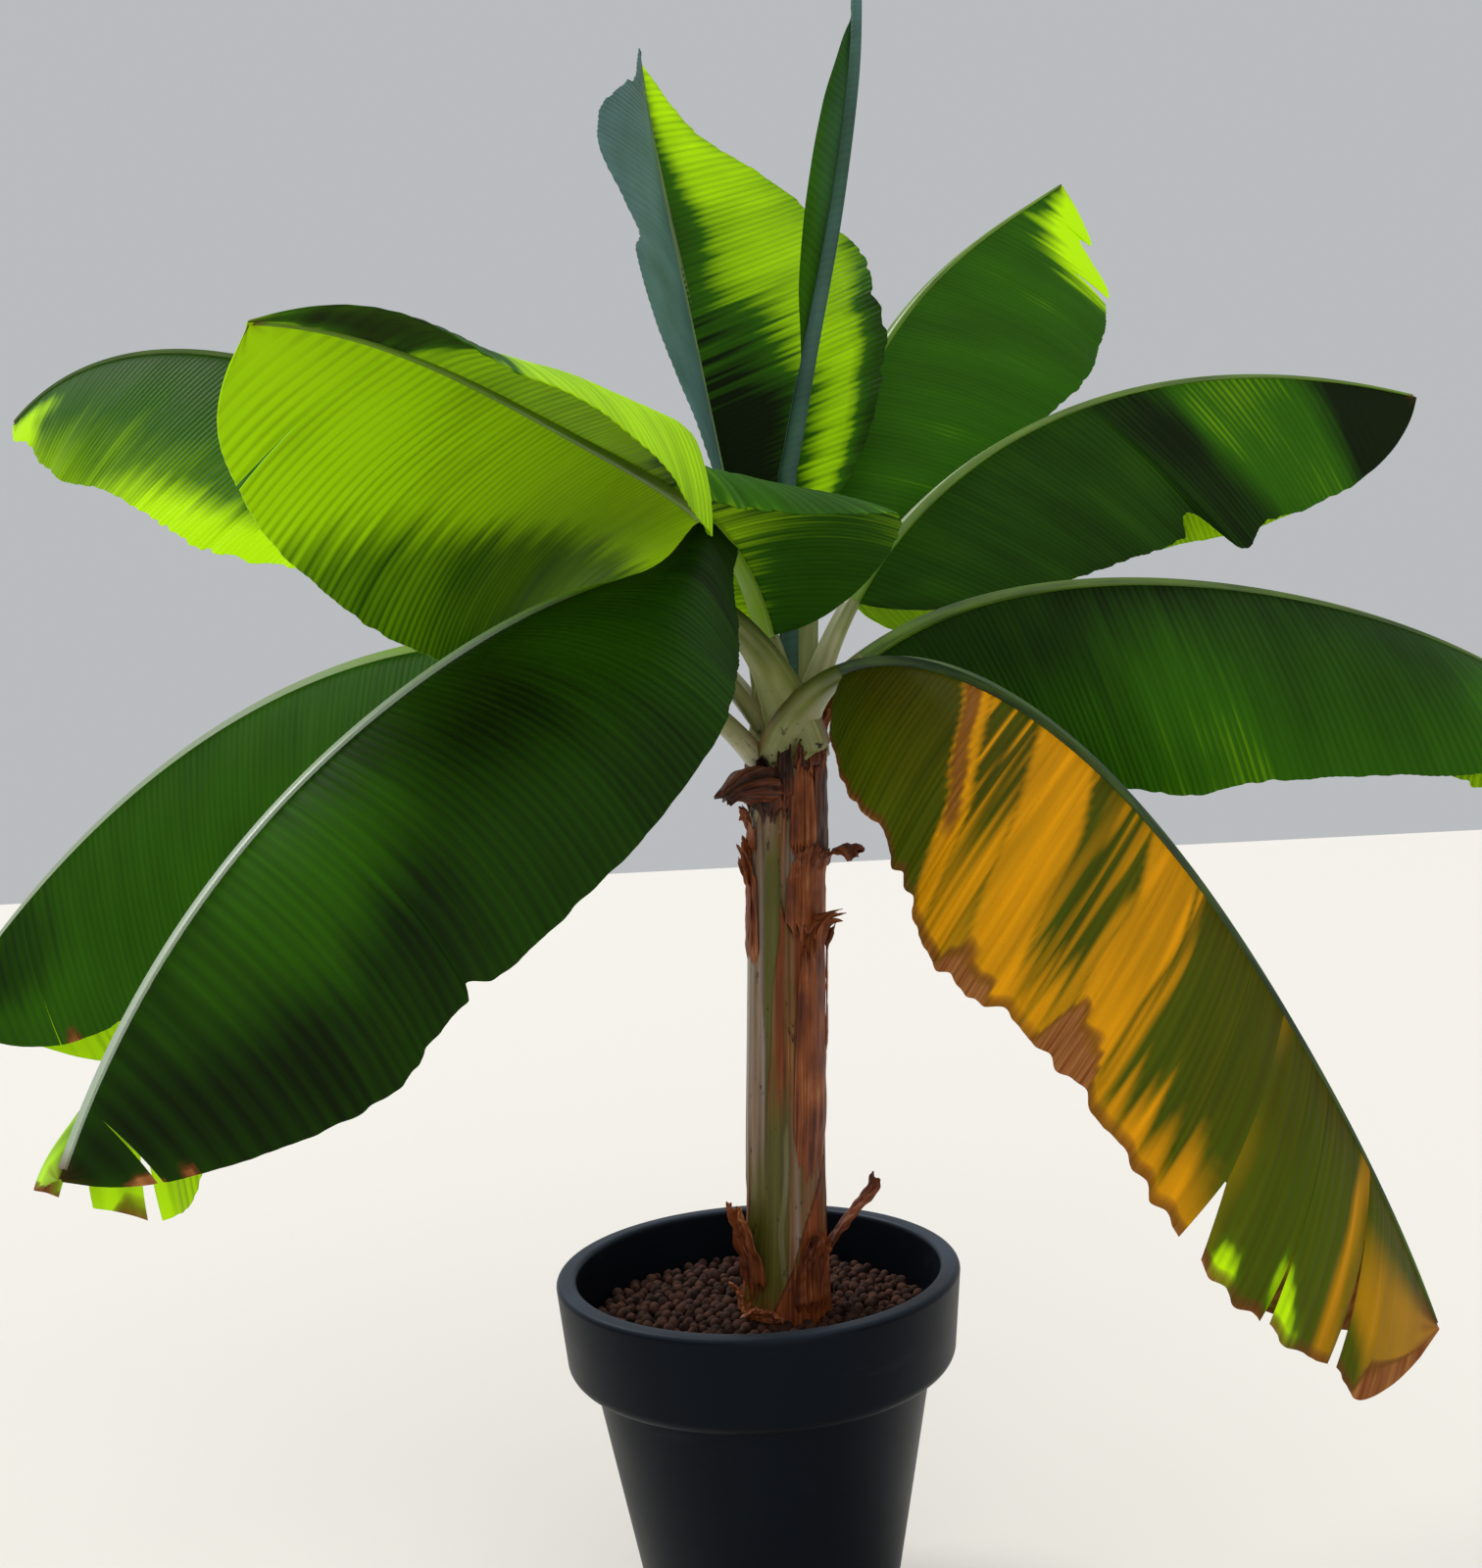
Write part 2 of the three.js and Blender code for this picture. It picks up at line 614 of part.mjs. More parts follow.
addLimb('rolled_new_leaf', rolledLeafGeometry(0), rolledLeafGeometry(LIMB_GROWTH), COLOURS.newLeaf, 0.5);
for (const [name, leaf] of Object.entries(LEAVES)) {
  const frameAt = leafPath(leaf);
  const plain = petioleGeometry(leaf, frameAt, 0);
  const grown = petioleGeometry(leaf, frameAt, LIMB_GROWTH);
  addLimb(`petiole_${name}`, plain, grown, COLOURS.petiole, 0.5);
  const color = name === 'front_right' ? COLOURS.yellowLeaf : COLOURS.leaf;
  addMesh(`leaf_${name}`, bladeGeometry(leaf, frameAt), color, 0.45);
}
addLimb('dry_petiole_stump', stumpGeometry(0), stumpGeometry(LIMB_GROWTH), COLOURS.dry, 0.8);

for (const [name, sheath] of Object.entries(DRY_SHEATHS)) {
  addMesh(name, geometryOf(cutClear(solidOf(drySheathGeometry(sheath)), taken)), COLOURS.dry, 0.8);
}

export default plant;
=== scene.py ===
import json
import math
from functools import cache, partial

import bpy
import numpy as np
from bpy.props import FloatProperty, FloatVectorProperty, IntProperty, PointerProperty
from mathutils import Matrix, Vector


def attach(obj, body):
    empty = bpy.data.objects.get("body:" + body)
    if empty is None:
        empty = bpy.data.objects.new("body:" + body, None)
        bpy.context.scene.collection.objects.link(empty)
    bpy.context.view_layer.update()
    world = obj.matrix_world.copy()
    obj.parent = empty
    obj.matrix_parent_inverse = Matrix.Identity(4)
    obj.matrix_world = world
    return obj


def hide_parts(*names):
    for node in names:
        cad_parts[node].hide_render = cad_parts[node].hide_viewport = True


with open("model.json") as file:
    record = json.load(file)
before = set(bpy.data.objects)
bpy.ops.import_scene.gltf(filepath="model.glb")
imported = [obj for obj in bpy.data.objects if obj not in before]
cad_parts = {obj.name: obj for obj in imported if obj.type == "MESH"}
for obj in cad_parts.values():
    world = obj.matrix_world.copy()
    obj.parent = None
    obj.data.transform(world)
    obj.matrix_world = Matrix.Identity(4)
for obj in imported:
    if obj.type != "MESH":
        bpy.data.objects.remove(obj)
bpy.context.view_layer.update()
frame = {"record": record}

bl_info = {
    "name": "Potted Banana Plant",
    "version": (1, 0, 0),
    "blender": (4, 5, 0),
    "location": "View3D > Sidebar > Plant",
    "description": "Builds a potted banana plant with paddle leaves, sheathed pseudostem and clay pebbles",
    "category": "Add Mesh",
}

MM = 0.001

# The pot, the bed in it and the pseudostem, in millimetres, as in the solids.
POT_HEIGHT = 440
POT_RIM_RADIUS = 240
POT_LIP_WIDTH = 24
POT_LIP_ROUND = 7
POT_COLLAR_HEIGHT = 108
POT_COLLAR_FOOT_RADIUS = 231
POT_COLLAR_ROUND = 16
POT_BODY_TOP_RADIUS = 204
POT_FOOT_RADIUS = 138
POT_FOOT_ROUND = 5
POT_WALL = 6
POT_FLOOR = 10
BED_TOP = 380
STEM_FOOT = np.array([30.0, 0.0, 380.3])
STEM_TOP = np.array([66.0, 0.0, 1064.0])
STEM_RADIUS = 49
STEM_FLARE = 7
STEM_FLARE_HEIGHT = 60
STEM_TAPER = 5
STEM_SHOULDER = 30
STEM_SHOULDER_TAPER = 9

# Sizes that all leaves share, in millimetres. PETIOLE_BASE, PETIOLE_END and RIB_TIP are half width and depth.
PETIOLE_BASE = (24, 18)
PETIOLE_END = (12, 12)
PETIOLE_TAPER = 0.8
RIB_TIP = (1.8, 2.0)
RIB_SLIM = 2.0
FRAME_SPREAD = 0.12
FOLD_GROWTH = 1.3
SWEEP_GROWTH = 0.8
PATH_STEPS = 240
# How far a side vein wanders off its straight line, in radians of the wave that the veins make.
VEIN_WANDER = 2.4

# A half that hangs away from the viewer and is little seen.
HANGING = dict(fold=(55, 60), edge=(75, 80, 80), outline=(0.92, 3.0, 0.5))
# One entry for each leaf: sizes in millimetres and angles in degrees. They are the same in the solids, apart
# from front_left, whose half width and left half are nearer to the real ones here. rise, heading and roll are
# Bezier controls along the leaf; fold and edge are a half's fold at rib and margin.
LEAVES = {
    "back_upright": dict(
        foot=(65, 17, 1020), petiole=246, blade=775, half_width=246,
        rise=(77, 77, 59, 84), heading=(139, 96, 133), roll=(-2, -6, 6), sweep=20,
        left=dict(fold=(-59, -50), edge=(-57, -43, -41), outline=(1.2, 2.59, 0.55)),
        right=dict(fold=(-45, -11), edge=(-33, -47, 12), outline=(0.81, 1.91, 0.83)),
    ),
    "upper_left": dict(
        foot=(53, -7, 1053), petiole=141, blade=920, half_width=239,
        rise=(112, -66, 41, -13), heading=(250, 258, 238), roll=(-11, 15, -2), sweep=29,
        left=dict(fold=(-13, 7), edge=(14, 54, 40), outline=(1.01, 2.65, 0.56)),
        right=dict(fold=(13, 38), edge=(1, 128, 46), outline=(0.88, 2.28, 0.435)),
    ),
    "front_left": dict(
        foot=(78, -31, 1053), petiole=273, blade=978, half_width=231,
        rise=(72, -62, 11, -61), heading=(239, 251, 250), roll=(16, -1, 0), sweep=25,
        left=dict(fold=(-8, -14, 42), edge=(12, 62, 73), outline=(1.02, 1.54, 0.52)),
        right=dict(fold=(55, 60), edge=(70, 85, 85), outline=(0.95, 3.0, 0.5)),
    ),
    "left": dict(
        foot=(49, -8, 1015), petiole=270, blade=900, half_width=242,
        rise=(62, -14, -39, -55), heading=(185, 185, 184), roll=(0, 0, -6), sweep=28,
        left=dict(fold=(42, 54), edge=(70, 73, 80), outline=(0.95, 3.0, 0.48)),
        right=HANGING,
    ),
    "back_left": dict(
        foot=(66, 10, 1048), petiole=335, blade=1000, half_width=240,
        rise=(59, 29, 44, -33), heading=(167, 171, 153), roll=(0, -4, -4), sweep=26,
        left=dict(fold=(45, 54), edge=(61, 71, 70), outline=(0.92, 3.0, 0.5)),
        right=HANGING,
    ),
    "back_right": dict(
        foot=(80, 18, 1045), petiole=293, blade=835, half_width=247,
        rise=(72, 74, 28, 32), heading=(76, 40, 34), roll=(0, -1, 11), sweep=26,
        left=dict(fold=(55, 60), edge=(75, 80, 80), outline=(0.95, 4.0, 0.5)),
        right=dict(fold=(28, 55), edge=(66, 57, 82), outline=(1.0, 4.0, 0.51)),
    ),
    "right_upper": dict(
        foot=(78, 1, 1039), petiole=209, blade=856, half_width=236,
        rise=(77, 41, 8, -18), heading=(27, 12, -3), roll=(-2, 7, 5), sweep=24,
        left=HANGING,
        right=dict(fold=(44, 60), edge=(56, 78, 72), outline=(0.94, 2.67, 0.54)),
    ),
    "right_lower": dict(
        foot=(60, -13, 1031), petiole=163, blade=875, half_width=264,
        rise=(71, -25, 2, -50), heading=(-9, -8, -5), roll=(11, 1, -8), sweep=27,
        left=HANGING,
        right=dict(fold=(66, 27), edge=(91, 70, 51), outline=(0.87, 2.9, 0.5)),
    ),
    "front_right": dict(
        foot=(64, -25, 1040), petiole=163, blade=940, half_width=262,
        rise=(66, -80, -53, -74), heading=(-64, -16, -7), roll=(0, 2, -3), sweep=28,
        left=dict(fold=(60, 60), edge=(80, 80, 80), outline=(1.0, 4.0, 0.5)),
        right=dict(fold=(33, 29), edge=(45, 63, 53), outline=(1.25, 4.0, 0.445)),
    ),
}

# How each half is coloured and worn. shade is painted light and shade: from 0, deep green in shade, to
# 1, lime with light through it, at the rib, half way out and at the margin, and foot_shade and tip_shade
# are what the two ends add. bloom is the wax that greys it and amber the share that goes yellow. dry_edge
# and dry_tip are the withered shares at margin and tip, ragged is the depth of the worn margin, and strip
# a dead strip between two veins, from and to. As shares of the blade, tears are (place, reach, gap in mm),
# bites and dead margins (place, half length, depth), and curls, which fold a stretch down, (place, half
# length, start, turn in degrees). glows are painted patches of light, or of painted shade where their gain
# is under 0: (place, share of the half's width, half length, half share, gain), with a sixth number under
# 0.7 for a crisper edge. sweep is in degrees, in place of the leaf's own. For the whole leaf, rib is how
# pale its rib is at the foot and at the tip, and slim how fast it narrows.
PLAIN = dict(
    shade=(0.3, 0.3, 0.3), foot_shade=0.0, tip_shade=0.0, bloom=0.0, amber=0.0, dry_edge=0.0, dry_tip=0.004,
    ragged=0.012, tears=(), bites=(), curls=(), dead=(), glows=(), strip=(),
)
LOOKS = {
    "back_upright": dict(
        rib=(0.12, 0.12),
        left=dict(
            shade=(0.26, 0.22, 0.2), bloom=0.9, ragged=0.02, sweep=-24,
            curls=((0.7, 0.27, 0.0, 12),), bites=((0.9, 0.18, 0.35), (0.54, 0.12, 0.3)),
        ),
        right=dict(
            shade=(0.5, 1.0, 0.62), tip_shade=0.2, ragged=0.03,
            bites=((0.92, 0.14, 0.3), (0.57, 0.12, -0.07)),
            glows=((0.16, 0.2, 0.5, 0.55, -0.75), (0.75, 0.0, 0.3, 0.35, -0.3), (0.3, 1.0, 0.34, 0.2, -0.5)),
        ),
    ),
    "upper_left": dict(
        rib=(0.52, 0.3),
        left=dict(
            shade=(0.8, 0.85, 0.78), curls=((0.62, 0.32, 0.35, 48), (1.02, 0.12, 0.0, -30)),
            bites=((0.5, 0.19, 0.5),),
            glows=((0.1, 0.6, 0.3, 1.1, -0.42), (0.4, 0.6, 0.16, 0.9, -0.5), (0.955, 0.5, 0.07, 1.1, -0.8)),
        ),
        right=dict(
            shade=(0.92, 1.0, 0.95), ragged=0.01, tears=((0.93, 0.4, 2),),
            glows=((0.42, 1.25, 0.5, 0.98, -0.42, 0.2), (0.12, 0.3, 0.14, 0.5, -0.3)),
        ),
    ),
    "front_left": dict(
        rib=(0.35, 0.95), slim=3.6,
        left=dict(
            shade=(0.12, 0.02, 0.1), dry_tip=0.003,
            tears=((0.984, 0.85, 2),), curls=((0.08, 0.3, 0.2, -70), (0.12, 0.34, 0.5, 105)),
            bites=((0.9, 0.11, -0.16), (0.78, 0.012, 0.07)), dead=((0.987, 0.005, 0.14), (0.974, 0.003, 0.1)),
            glows=((0.83, 0.25, 0.13, 0.5, 0.24), (0.4, 0.5, 0.2, 0.6, 0.12)),
        ),
        right=dict(
            shade=(0.4, 0.5, 0.75), tip_shade=0.2, dry_tip=0.006, tears=((0.945, 0.5, 7), (0.968, 0.6, 9)),
            curls=((1.0, 0.07, 0.0, -40),), bites=((0.95, 0.1, -0.5),),
            dead=((0.95, 0.008, 0.1), (0.985, 0.015, 0.12)),
        ),
    ),
    "left": dict(
        rib=(0.45, 0.9), slim=3.6,
        left=dict(
            shade=(0.28, 0.32, 0.3), tears=((0.92, 0.4, 2),), dead=((0.9, 0.012, 0.08),),
            glows=((0.95, 0.3, 0.1, 0.5, -0.2),),
        ),
        right=dict(shade=(0.6, 0.7, 0.85), tip_shade=0.2, bites=((0.97, 0.1, -0.8),)),
    ),
    "back_left": dict(
        rib=(0.12, 0.12),
        left=dict(
            shade=(0.2, 0.4, 0.6), tip_shade=0.05,
            bites=((0.42, 0.3, -0.2), (0.88, 0.1, 0.1), (0.96, 0.08, 0.35)),
            glows=((0.4, 1.0, 0.34, 0.3, 0.5), (0.97, 0.7, 0.07, 0.6, 0.5)),
        ),
        right=dict(shade=(0.7, 0.8, 0.9)),
    ),
    "back_right": dict(
        rib=(0.25, 0.25),
        left=dict(shade=(0.45, 0.45, 0.45), tip_shade=0.1),
        right=dict(
            shade=(0.32, 0.38, 0.34), bites=((0.95, 0.03, 0.35), (0.6, 0.25, -0.07)),
            tears=((0.9, 0.5, 4),), glows=((0.97, 0.8, 0.12, 0.8, 0.75),),
        ),
    ),
    "right_upper": dict(
        rib=(0.2, 0.2),
        left=dict(shade=(0.8, 0.9, 0.95)),
        right=dict(
            shade=(0.16, 0.18, 0.12), ragged=0.02,
            bites=((0.53, 0.05, 0.17), (0.6, 0.08, -0.12)),
            glows=(
                (0.62, 0.4, 0.09, 1.1, -0.12), (0.8, 0.5, 0.14, 1.4, 0.28, 0.35),
                (0.97, 0.5, 0.12, 1.2, -0.32),
            ),
        ),
    ),
    "right_lower": dict(
        rib=(0.15, 0.15),
        left=dict(shade=(0.45, 0.5, 0.6), tip_shade=0.2, bites=((0.78, 0.34, 0.4),)),
        right=dict(
            shade=(0.04, 0.18, 0.3), tip_shade=0.1, bites=((0.42, 0.12, -0.05), (0.85, 0.2, -0.05)),
            glows=((0.44, 0.9, 0.17, 1.0, 0.19), (0.9, 0.6, 0.1, 0.6, 0.18)),
        ),
    ),
    "front_right": dict(
        rib=(0.05, 0.05),
        left=dict(
            shade=(0.4, 0.45, 0.5), amber=0.6, dry_edge=0.04, dry_tip=0.05, ragged=0.04,
            bites=((0.75, 0.2, 0.55),),
        ),
        right=dict(
            shade=(0.13, 0.2, 0.24), amber=1.0, dry_edge=0.014, dry_tip=0.008, ragged=0.05,
            strip=(0.2, 0.234),
            dead=((0.43, 0.045, 0.12), (0.565, 0.045, 0.17), (0.985, 0.03, 0.26), (0.79, 0.025, 0.05)),
            bites=((0.22, 0.07, 0.07), (0.4, 0.12, -0.12), (0.98, 0.05, -0.3)),
            tears=((0.77, 0.27, 26), (0.86, 0.4, 3), (0.93, 0.6, 8)),
            glows=((0.81, 0.97, 0.02, 0.14, 0.7), (0.87, 0.92, 0.022, 0.2, 0.7)),
        ),
    ),
}
# The amber bands of the yellowing leaf follow its veins: from and to as shares of its blade, how yellow
# each is, and how much of it green streaks leave at the rib and at the margin.
AMBER_BANDS = (
    (0.2, 0.25, 1.0, 0.0, 0.1), (0.25, 0.335, 0.9, 0.95, 0.3), (0.335, 0.43, 1.0, 0.2, 0.05),
    (0.43, 0.525, 0.6, 1.0, 0.85), (0.525, 0.6, 1.0, 0.25, 0.0), (0.605, 0.622, 0.8, 0.6, 0.2),
    (0.775, 0.783, 0.6, 0.3, 0.2), (0.91, 0.925, 0.8, 0.4, 0.1),
)
# How yellow that leaf is between its bands.
AMBER_WASH = 0.07
# How far the veins near that leaf's base lean back from the rows of its blade.
VEIN_BEND = 0.42

# The rolled new leaf: its line and radii in millimetres, as in the solids. Inside the flat lens that
# its solid has there, the roll leans to one side, and a free edge of the blade stands off on the other.
# Both are from, to as shares of the length, and the largest width.
ROLLED_LINE = (
    (66, 14, 1040), (77, 18, 1200), (83, 22, 1370), (100, 25, 1530),
    (133, 28, 1700), (168, 30, 1860), (196, 30, 1960), (232, 30, 2030),
)
ROLLED_RADIUS = (13, 5)
ROLLED_LEAN = (0.3, 0.86, 25)
ROLLED_FREE = (0.4, 0.83, 36)

# Dry sheaths left on the pseudostem, each over its solid. steps, from and to, are counted round it in
# fortieths of a turn, and foot and length are in millimetres. hug is the share of the length that lies on
# it, beyond which the sheath leans out by the degrees in lean, and tip is the share of its width that is
# left at its tip. torn is the depth of the teeth there as a share of the length, and roll how far its
# margins roll in, in millimetres.
DRY_SHEATHS = {
    "dry_sheath_foot_left": dict(
        steps=(17, 25), foot=425, length=95, hug=0.2, lean=(34, 8), tip=0.35, torn=0.05,
    ),
    "dry_sheath_foot_right": dict(steps=(31, 38), foot=383, length=110, hug=0.4, lean=(10, 18), tip=0.6),
    "dry_strip_foot": dict(steps=(39, 43), foot=432, length=125, hug=0.06, lean=(80, 8), tip=0.5),
    "dry_sheath_front": dict(steps=(31, 39), foot=540, length=345, hug=0.84, lean=(60, 80), tip=0.6),
    "dry_sheath_right": dict(steps=(36, 41), foot=893, length=82, hug=0.2, lean=(75, 125), tip=0.7, roll=18),
    "dry_sheath_left": dict(steps=(18, 25), foot=780, length=180, hug=0.7, lean=(4, 26), tip=0.5),
    "dry_sheath_crown": dict(steps=(30, 38), foot=962, length=95, hug=0.6, lean=(7, 16), tip=0.45),
    "dry_sheath_back": dict(steps=(5, 15), foot=640, length=330, hug=0.9, lean=(6, 14), tip=0.5),
}
STEM_STEP = 2 * math.pi / 40

# Torn plates and scraps of old sheaths that lie on the pseudostem, off it by so many millimetres. The
# others of their values are those of the dry sheaths, and dark ones are withered almost black.
SCRAPS = (
    dict(steps=(24.0, 31.0), foot=962, length=108, hug=0.75, lean=(4, 12), tip=0.4, off=5, dark=True),
    dict(steps=(30.2, 34.6), foot=915, length=140, hug=0.8, lean=(6, 20), tip=0.4, off=7),
    dict(steps=(33.8, 39.0), foot=880, length=200, hug=0.85, lean=(8, 26), tip=0.5, off=5, dark=True),
    dict(steps=(28.2, 30.9), foot=978, length=104, hug=0.5, lean=(9, 4), tip=0.3, off=9, dark=True),
    dict(steps=(30.6, 35.4), foot=1018, length=64, hug=0.2, lean=(16, 60), tip=0.7, off=10, dark=True),
    dict(steps=(25.6, 28.4), foot=1000, length=50, hug=0.2, lean=(14, 50), tip=0.6, off=9, dark=True),
    dict(steps=(15.5, 23.6), foot=975, length=94, hug=0.7, lean=(6, 22), tip=0.4, off=5, dark=True),
    dict(steps=(2.0, 13.0), foot=960, length=96, hug=0.8, lean=(4, 14), tip=0.5, off=5, dark=True),
    dict(steps=(20.6, 24.2), foot=925, length=68, hug=0.5, lean=(10, 60), tip=0.6, off=3),
    dict(steps=(20.2, 23.6), foot=790, length=150, hug=0.7, lean=(3, 14), tip=0.3, off=3),
    dict(steps=(29.6, 37.4), foot=826, length=118, hug=0.66, lean=(10, 44), tip=0.8, off=5),
    dict(steps=(35.6, 37.6), foot=1035, length=92, hug=0.1, lean=(24, 34), tip=0.8, off=5),
    dict(steps=(21.6, 27.4), foot=404, length=124, hug=0.2, lean=(26, 16), tip=0.36, off=3, torn=0.05),
    dict(steps=(19.0, 24.5), foot=381, length=46, hug=0.3, lean=(24, 50), tip=1.0, off=2),
    dict(steps=(24.0, 30.0), foot=381, length=26, hug=0.2, lean=(28, 60), tip=1.0, off=2),
    dict(steps=(38.0, 41.0), foot=660, length=190, hug=0.9, lean=(4, 10), tip=0.3, off=3),
)
# Over this first share of its length a sheath or scrap comes up out of the pseudostem, from so many
# millimetres inside it, and its foot is torn into teeth so many millimetres deep.
SCRAP_FOOT = 0.24
SCRAP_SINK = 5.0
FOOT_TEETH = 26

# The stump of an old petiole, dried and bent over.
STUMP = dict(
    foot=(52, -22, 1000), petiole=88, blade=0,
    rise=(30, 10, -45), heading=(235, 220, 205),
)


def linear(code):
    """An sRGB hex colour such as "#8A9A50" as linear red, green and blue."""
    values = [int(code[i:i + 2], 16) / 255 for i in (1, 3, 5)]
    return tuple(v / 12.92 if v <= 0.04045 else ((v + 0.055) / 1.055) ** 2.4 for v in values)


def colour_property(name, description, code):
    """A colour that a user can change, with a hex colour as its default."""
    return FloatVectorProperty(
        name=name, description=description, subtype="COLOR", size=3, min=0, max=1, default=linear(code),
    )


class PLANT_PG_pot(bpy.types.PropertyGroup):
    colour: colour_property("Pot colour", "Colour of the moulded pot", "#070A10")
    # Painted blue-grey sheen: this colour stands for the reflection that the pot's upward faces catch, and
    # also for its dust and light scuffs.
    sheen_and_scuff_colour: colour_property("Scuff colour", "Colour of dust and light scuffs on the pot", "#3A4350")
    sides: IntProperty(name="Sides", description="Sides of the turned pot", default=160, min=24, max=360)


class PLANT_PG_bed(bpy.types.PropertyGroup):
    dark_colour: colour_property("Dark clay", "Darkest fired clay pebbles", "#1C120E")
    light_colour: colour_property("Light clay", "Lightest fired clay pebbles", "#4C3026")
    small: FloatProperty(name="Smallest", description="Smallest pebble", default=0.0115, unit="LENGTH")
    large: FloatProperty(name="Largest", description="Largest pebble", default=0.0175, unit="LENGTH")
    spacing: FloatProperty(
        name="Spacing", description="Least distance of pebbles", default=0.0122, unit="LENGTH",
    )
    seed: IntProperty(name="Seed", description="Seed of the pebbles' places", default=7)


class PLANT_PG_stem(bpy.types.PropertyGroup):
    green: colour_property("Green sheath", "Living sheath", "#5F5C22")
    pale: colour_property("Pale sheath", "Bleached inner sheath", "#8E8276")
    dry: colour_property("Dry sheath", "Red-brown papery sheath", "#602C14")
    dark: colour_property("Dark sheath", "Edges and spots of the old sheaths", "#21120D")


class PLANT_PG_leaf(bpy.types.PropertyGroup):
    deep: colour_property("Deep green", "Shaded blade", "#0B1703")
    middle: colour_property("Middle green", "Blade in plain light", "#2C5C04")
    lime: colour_property("Lime", "Blade with light through it", "#B8F004")
    bloom: colour_property("Wax bloom", "Blue-grey wax on the blade", "#66888C")
    amber: colour_property("Amber", "Yellowing blade", "#DE9606")
    withered: colour_property("Withered", "Dead margin", "#8A4A24")
    pleat: FloatProperty(name="Pleat", description="Distance of the side veins", default=0.009, unit="LENGTH")
    thickness: FloatProperty(name="Thickness", description="Blade thickness", default=0.0009, unit="LENGTH")


class PLANT_PG_stage(bpy.types.PropertyGroup):
    floor: colour_property("Floor", "Plain pale floor", "#D9D6D0")
    air: colour_property("Surround", "Soft light from all round", "#E9ECEF")


class PLANT_PG_all(bpy.types.PropertyGroup):
    pot: PointerProperty(type=PLANT_PG_pot)
    bed: PointerProperty(type=PLANT_PG_bed)
    stem: PointerProperty(type=PLANT_PG_stem)
    leaf: PointerProperty(type=PLANT_PG_leaf)
    stage: PointerProperty(type=PLANT_PG_stage)


def settings():
    """The sizes and colours that a user can change."""
    return bpy.context.scene.potted_banana


def lerp(a, b, t):
    """From a to b as t goes from 0 to 1."""
    return a + (b - a) * t


def smooth(low, high, value):
    """0 below low, 1 above high and a soft step between."""
    t = np.clip((value - low) / (high - low), 0, 1)
    return t * t * (3 - 2 * t)


def bezier(controls, t):
    """A Bezier curve through plain numbers, at each of t."""
    values = [np.full(np.shape(t), float(c)) for c in controls]
    while len(values) > 1:
        values = [lerp(a, b, t) for a, b in zip(values, values[1:])]
    return values[0]


# The field repeats after this many cells.
GRAIN_CELLS = 97


def grain(x, y, seed):
    """Soft random field over x and y, from 0 to 1, with cells one unit wide."""
    cells = np.random.default_rng(seed).random((GRAIN_CELLS, GRAIN_CELLS))
    x, y = np.broadcast_arrays(np.asarray(x, float), np.asarray(y, float))
    i, j = np.floor(x).astype(int), np.floor(y).astype(int)
    s, t = smooth(0, 1, x - i), smooth(0, 1, y - j)

    def corner(right, up):
        return cells[(i + right) % GRAIN_CELLS, (j + up) % GRAIN_CELLS]

    return lerp(lerp(corner(0, 0), corner(1, 0), s), lerp(corner(0, 1), corner(1, 1), s), t)


def unit(vectors):
    """The vectors at a length of 1."""
    return vectors / np.maximum(np.linalg.norm(vectors, axis=-1, keepdims=True), 1e-12)


def grid_normals(points):
    """Normals of a grid of points, across its columns and then along its rows."""
    down = np.gradient(points, axis=0)
    across = np.gradient(points, axis=1)
    return unit(np.cross(across, down))


def rgba(colour):
    return (*colour[:3], 1.0)


def add_node(tree, kind, inputs=(), stops=(), **options):
    """A node with its options, its inputs, by name or in order, and the stops of its colour ramp.

    An input is a value, a socket, or a node, of which the first output in use is meant.
    """
    node = tree.nodes.new(kind)
    for key, value in options.items():
        setattr(node, key, value)
    for key, value in inputs.items() if isinstance(inputs, dict) else enumerate(inputs):
        socket = node.inputs[key]
        if isinstance(value, bpy.types.Node):
            value = next(output for output in value.outputs if output.enabled)
        if isinstance(value, bpy.types.NodeSocket):
            tree.links.new(value, socket)
        else:
            socket.default_value = rgba(value) if socket.type == "RGBA" else value
    if stops:
        elements = node.color_ramp.elements
        while len(elements) < len(stops):
            elements.new(0.5)
        for element, (place, colour) in zip(elements, stops):
            element.position, element.color = place, rgba(colour)
    return node


def new_material(name):
    """An empty material, and add_node for its tree."""
    material = bpy.data.materials.new(name)
    material.use_nodes = True
    material.node_tree.nodes.clear()
    return material, partial(add_node, material.node_tree)


def patches(node, place, sizes, detail, roughness=0.5):
    """Soft random patches, from 0 to 1, of a size in millimetres along each axis of the place."""
    cells = [1 / (size * MM) for size in sizes]
    spread = node("ShaderNodeMapping", {"Vector": place, "Scale": cells})
    inputs = {"Vector": spread, "Scale": 1.0, "Detail": detail, "Roughness": roughness}
    return node("ShaderNodeTexNoise", inputs)


def varied(node, tone, field, amount):
    """The tone moved by half the amount either way as the field goes from 0 to 1."""
    sway = node("ShaderNodeMapRange", (field, 0.0, 1.0, -amount / 2, amount / 2))
    return node("ShaderNodeMath", (tone, sway), operation="ADD")


def laid_over(node, colour, *layers):
    """The colour under others, each given by how much of what is under it it covers, and its colour."""
    for cover, above in layers:
        colour = node("ShaderNodeMix", {"Factor": cover, "A": colour, "B": above}, data_type="RGBA")
    return colour


def stalk_paint(node):
    """What build_petiole and its like paint on a stalk's points: three values and the place."""
    painted = node("ShaderNodeAttribute", attribute_name="stalk_tint").outputs["Color"]
    place = node("ShaderNodeAttribute", attribute_name="stalk_place").outputs["Vector"]
    return *node("ShaderNodeSeparateColor", {"Color": painted}).outputs, place


def finished(node, inputs, relief=None):
    """The shader with its inputs; relief is a field, its strength and its depth in millimetres."""
    if relief:
        field, strength, depth = relief
        bump = {"Height": field, "Strength": strength, "Distance": depth * MM}
        inputs["Normal"] = node("ShaderNodeBump", bump)
    node("ShaderNodeOutputMaterial", {"Surface": node("ShaderNodeBsdfPrincipled", inputs)})


